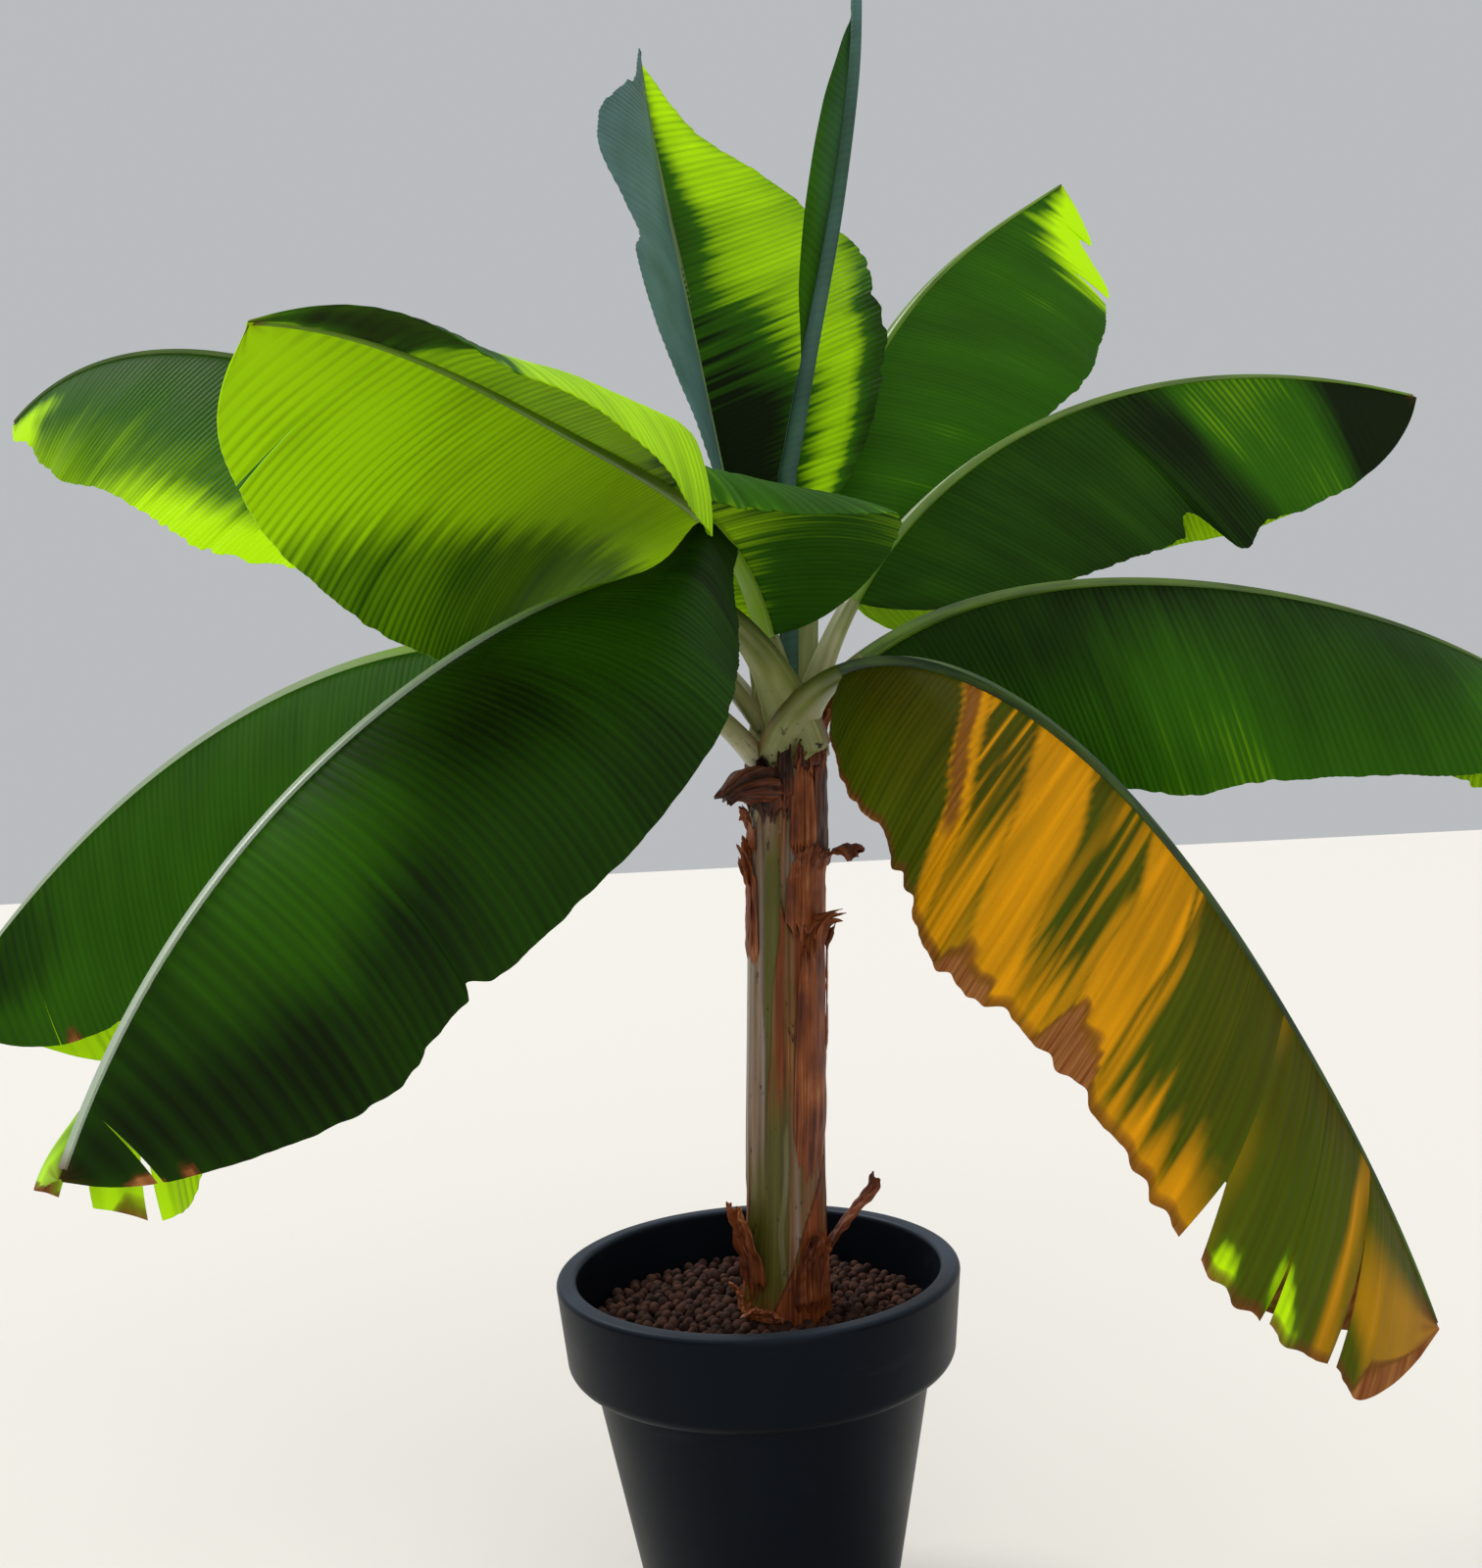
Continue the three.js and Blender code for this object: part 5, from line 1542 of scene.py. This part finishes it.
def build_bed():
    """The bed: dark substrate with two layers of clay pebbles on it."""
    floor, top = POT_FLOOR + 1, BED_TOP - BED_SINK
    radius = pot_inside(BED_TOP) - BED_CLEARANCE
    shape = Shape()
    lathe(shape, [(pot_inside(floor) - 1, floor), (radius, top)], BED_SIDES)
    soil = shape.build("potting_substrate", [finish_of("substrate")], 40)
    place_piece(soil, "clay_pebbles", "clay_pebble_bed")
    for number, (depth, rise) in enumerate(PEBBLE_LAYERS):
        disc = bed_disc(f"strewing_disc_{number}", BED_TOP - depth, radius - BED_MARGIN)
        pebbles = strewn(f"clay_pebbles_{number}", disc, rise, settings().bed.seed + number)
        bpy.data.objects.remove(disc)
        place_piece(pebbles, "clay_pebbles", "clay_pebble_bed")


# The photograph's camera: place in metres, turn in degrees, and a lens for its 1512 by 1600 frame.
CAMERA_PLACE = (0.009, -1.756, 1.029)
CAMERA_PITCH = -0.5
CAMERA_ROLL = 2.9
CAMERA_FOCAL_PIXELS = 1500
CAMERA_REACH = (0.05, 100)
PHOTO_LONG_SIDE = 1600
SENSOR = 36.0


def build_camera():
    """The camera at the photograph's place."""
    data = bpy.data.cameras.new("photo_camera")
    data.sensor_width = SENSOR
    data.lens = SENSOR * CAMERA_FOCAL_PIXELS / PHOTO_LONG_SIDE
    data.clip_start, data.clip_end = CAMERA_REACH
    camera = in_scene("photo_camera", data)
    pitch, roll = math.radians(CAMERA_PITCH), math.radians(CAMERA_ROLL)
    ahead = Vector((0, math.cos(pitch), math.sin(pitch)))
    level, up = Vector((1, 0, 0)), Vector((0, -math.sin(pitch), math.cos(pitch)))
    right = level * math.cos(roll) - up * math.sin(roll)
    above = level * math.sin(roll) + up * math.cos(roll)
    turn = Matrix((right, above, -ahead)).transposed()
    camera.matrix_world = Matrix.Translation(CAMERA_PLACE) @ turn.to_4x4()
    bpy.context.scene.camera = camera


# Soft lights: name, the direction that each comes from, how wide it is in degrees, its strength and colour.
LIGHTS = (
    ("window_light", (-0.5, 0.45, 1.0), 30, 2.4, (1.0, 0.985, 0.95)),
    ("fill_light", (0.35, -1.0, 0.55), 80, 1.3, (1.0, 0.98, 0.95)),
)
SURROUND_STRENGTH = 0.6
FLOOR_HALF = 14.0


def build_lights():
    """The soft lights and the even light from all round."""
    for name, way, spread, strength, colour in LIGHTS:
        data = bpy.data.lights.new(name, "SUN")
        data.angle = math.radians(spread)
        data.energy = strength
        data.color = colour
        light = in_scene(name, data)
        light.rotation_euler = Vector(way).to_track_quat("Z", "Y").to_euler()
    world = bpy.data.worlds.new("soft_surround")
    world.use_nodes = True
    ground = world.node_tree.nodes["Background"]
    ground.inputs["Color"].default_value = rgba(settings().stage.air)
    ground.inputs["Strength"].default_value = SURROUND_STRENGTH
    bpy.context.scene.world = world


def build_floor():
    """The plain floor that the pot stands on."""
    far = FLOOR_HALF
    shape = Shape()
    shape.add([(-far, -far, 0), (far, -far, 0), (far, far, 0), (-far, far, 0)], [[0, 1, 2, 3]])
    floor = shape.build("floor", [finish_of("floor")])


class PLANT_OT_stage(bpy.types.Operator):
    """Sets the camera, the soft lights and the plain floor"""
    bl_idname = "plant.stage"
    bl_label = "Stage"

    def execute(self, context):
        build_camera()
        build_lights()
        build_floor()
        context.scene.view_settings.view_transform = "Standard"
        return {"FINISHED"}


class PLANT_OT_pot(bpy.types.Operator):
    """Builds the collared pot"""
    bl_idname = "plant.pot"
    bl_label = "Pot"

    def execute(self, context):
        build_pot()
        return {"FINISHED"}


class PLANT_OT_bed(bpy.types.Operator):
    """Builds the substrate and the clay pebbles on it"""
    bl_idname = "plant.bed"
    bl_label = "Pebble bed"

    def execute(self, context):
        build_bed()
        return {"FINISHED"}


class PLANT_OT_pseudostem(bpy.types.Operator):
    """Builds the sheathed pseudostem"""
    bl_idname = "plant.pseudostem"
    bl_label = "Pseudostem"

    def execute(self, context):
        build_pseudostem()
        return {"FINISHED"}


class PLANT_OT_dry_sheaths(bpy.types.Operator):
    """Builds the dry sheaths and the withered stump"""
    bl_idname = "plant.dry_sheaths"
    bl_label = "Dry sheaths"

    def execute(self, context):
        for index, (name, sheath) in enumerate(DRY_SHEATHS.items()):
            build_dry_sheath(name, sheath, index, name)
        for index, sheath in enumerate(SCRAPS):
            build_dry_sheath(f"scrap_{index}", sheath, len(DRY_SHEATHS) + index, "pseudostem")
        build_stump()
        return {"FINISHED"}


class PLANT_OT_petioles(bpy.types.Operator):
    """Builds the petioles with their sheath bases"""
    bl_idname = "plant.petioles"
    bl_label = "Petioles"

    def execute(self, context):
        for index, name in enumerate(LEAVES):
            build_petiole(name, index)
        return {"FINISHED"}


class PLANT_OT_leaves(bpy.types.Operator):
    """Builds the open leaf blades with their ribs"""
    bl_idname = "plant.leaves"
    bl_label = "Leaves"

    def execute(self, context):
        for index, name in enumerate(LEAVES):
            build_leaf(name, index)
        return {"FINISHED"}


class PLANT_OT_rolled_leaf(bpy.types.Operator):
    """Builds the rolled new leaf"""
    bl_idname = "plant.rolled_leaf"
    bl_label = "Rolled leaf"

    def execute(self, context):
        build_rolled_leaf()
        return {"FINISHED"}


OPERATORS = (
    PLANT_OT_stage, PLANT_OT_pot, PLANT_OT_bed, PLANT_OT_pseudostem, PLANT_OT_dry_sheaths,
    PLANT_OT_petioles, PLANT_OT_leaves, PLANT_OT_rolled_leaf,
)


class PLANT_PT_panel(bpy.types.Panel):
    """Lists the plant's pieces in the order in which they are built"""
    bl_idname = "PLANT_PT_panel"
    bl_label = "Potted banana plant"
    bl_space_type = "VIEW_3D"
    bl_region_type = "UI"
    bl_category = "Plant"

    def draw(self, context):
        for operator in OPERATORS:
            self.layout.operator(operator.bl_idname)


CLASSES = (
    PLANT_PG_pot, PLANT_PG_bed, PLANT_PG_stem, PLANT_PG_leaf, PLANT_PG_stage, PLANT_PG_all,
    *OPERATORS, PLANT_PT_panel,
)


def register():
    """Adds the classes and the plant's settings to Blender."""
    for cls in CLASSES:
        bpy.utils.register_class(cls)
    bpy.types.Scene.potted_banana = PointerProperty(type=PLANT_PG_all)


def unregister():
    """Takes them out again."""
    del bpy.types.Scene.potted_banana
    for cls in reversed(CLASSES):
        bpy.utils.unregister_class(cls)


def main():
    """Builds the whole plant."""
    register()
    bpy.ops.plant.stage()
    bpy.ops.plant.pot()
    bpy.ops.plant.bed()
    bpy.ops.plant.pseudostem()
    bpy.ops.plant.dry_sheaths()
    bpy.ops.plant.petioles()
    bpy.ops.plant.leaves()
    bpy.ops.plant.rolled_leaf()


if __name__ == "__main__":
    main()
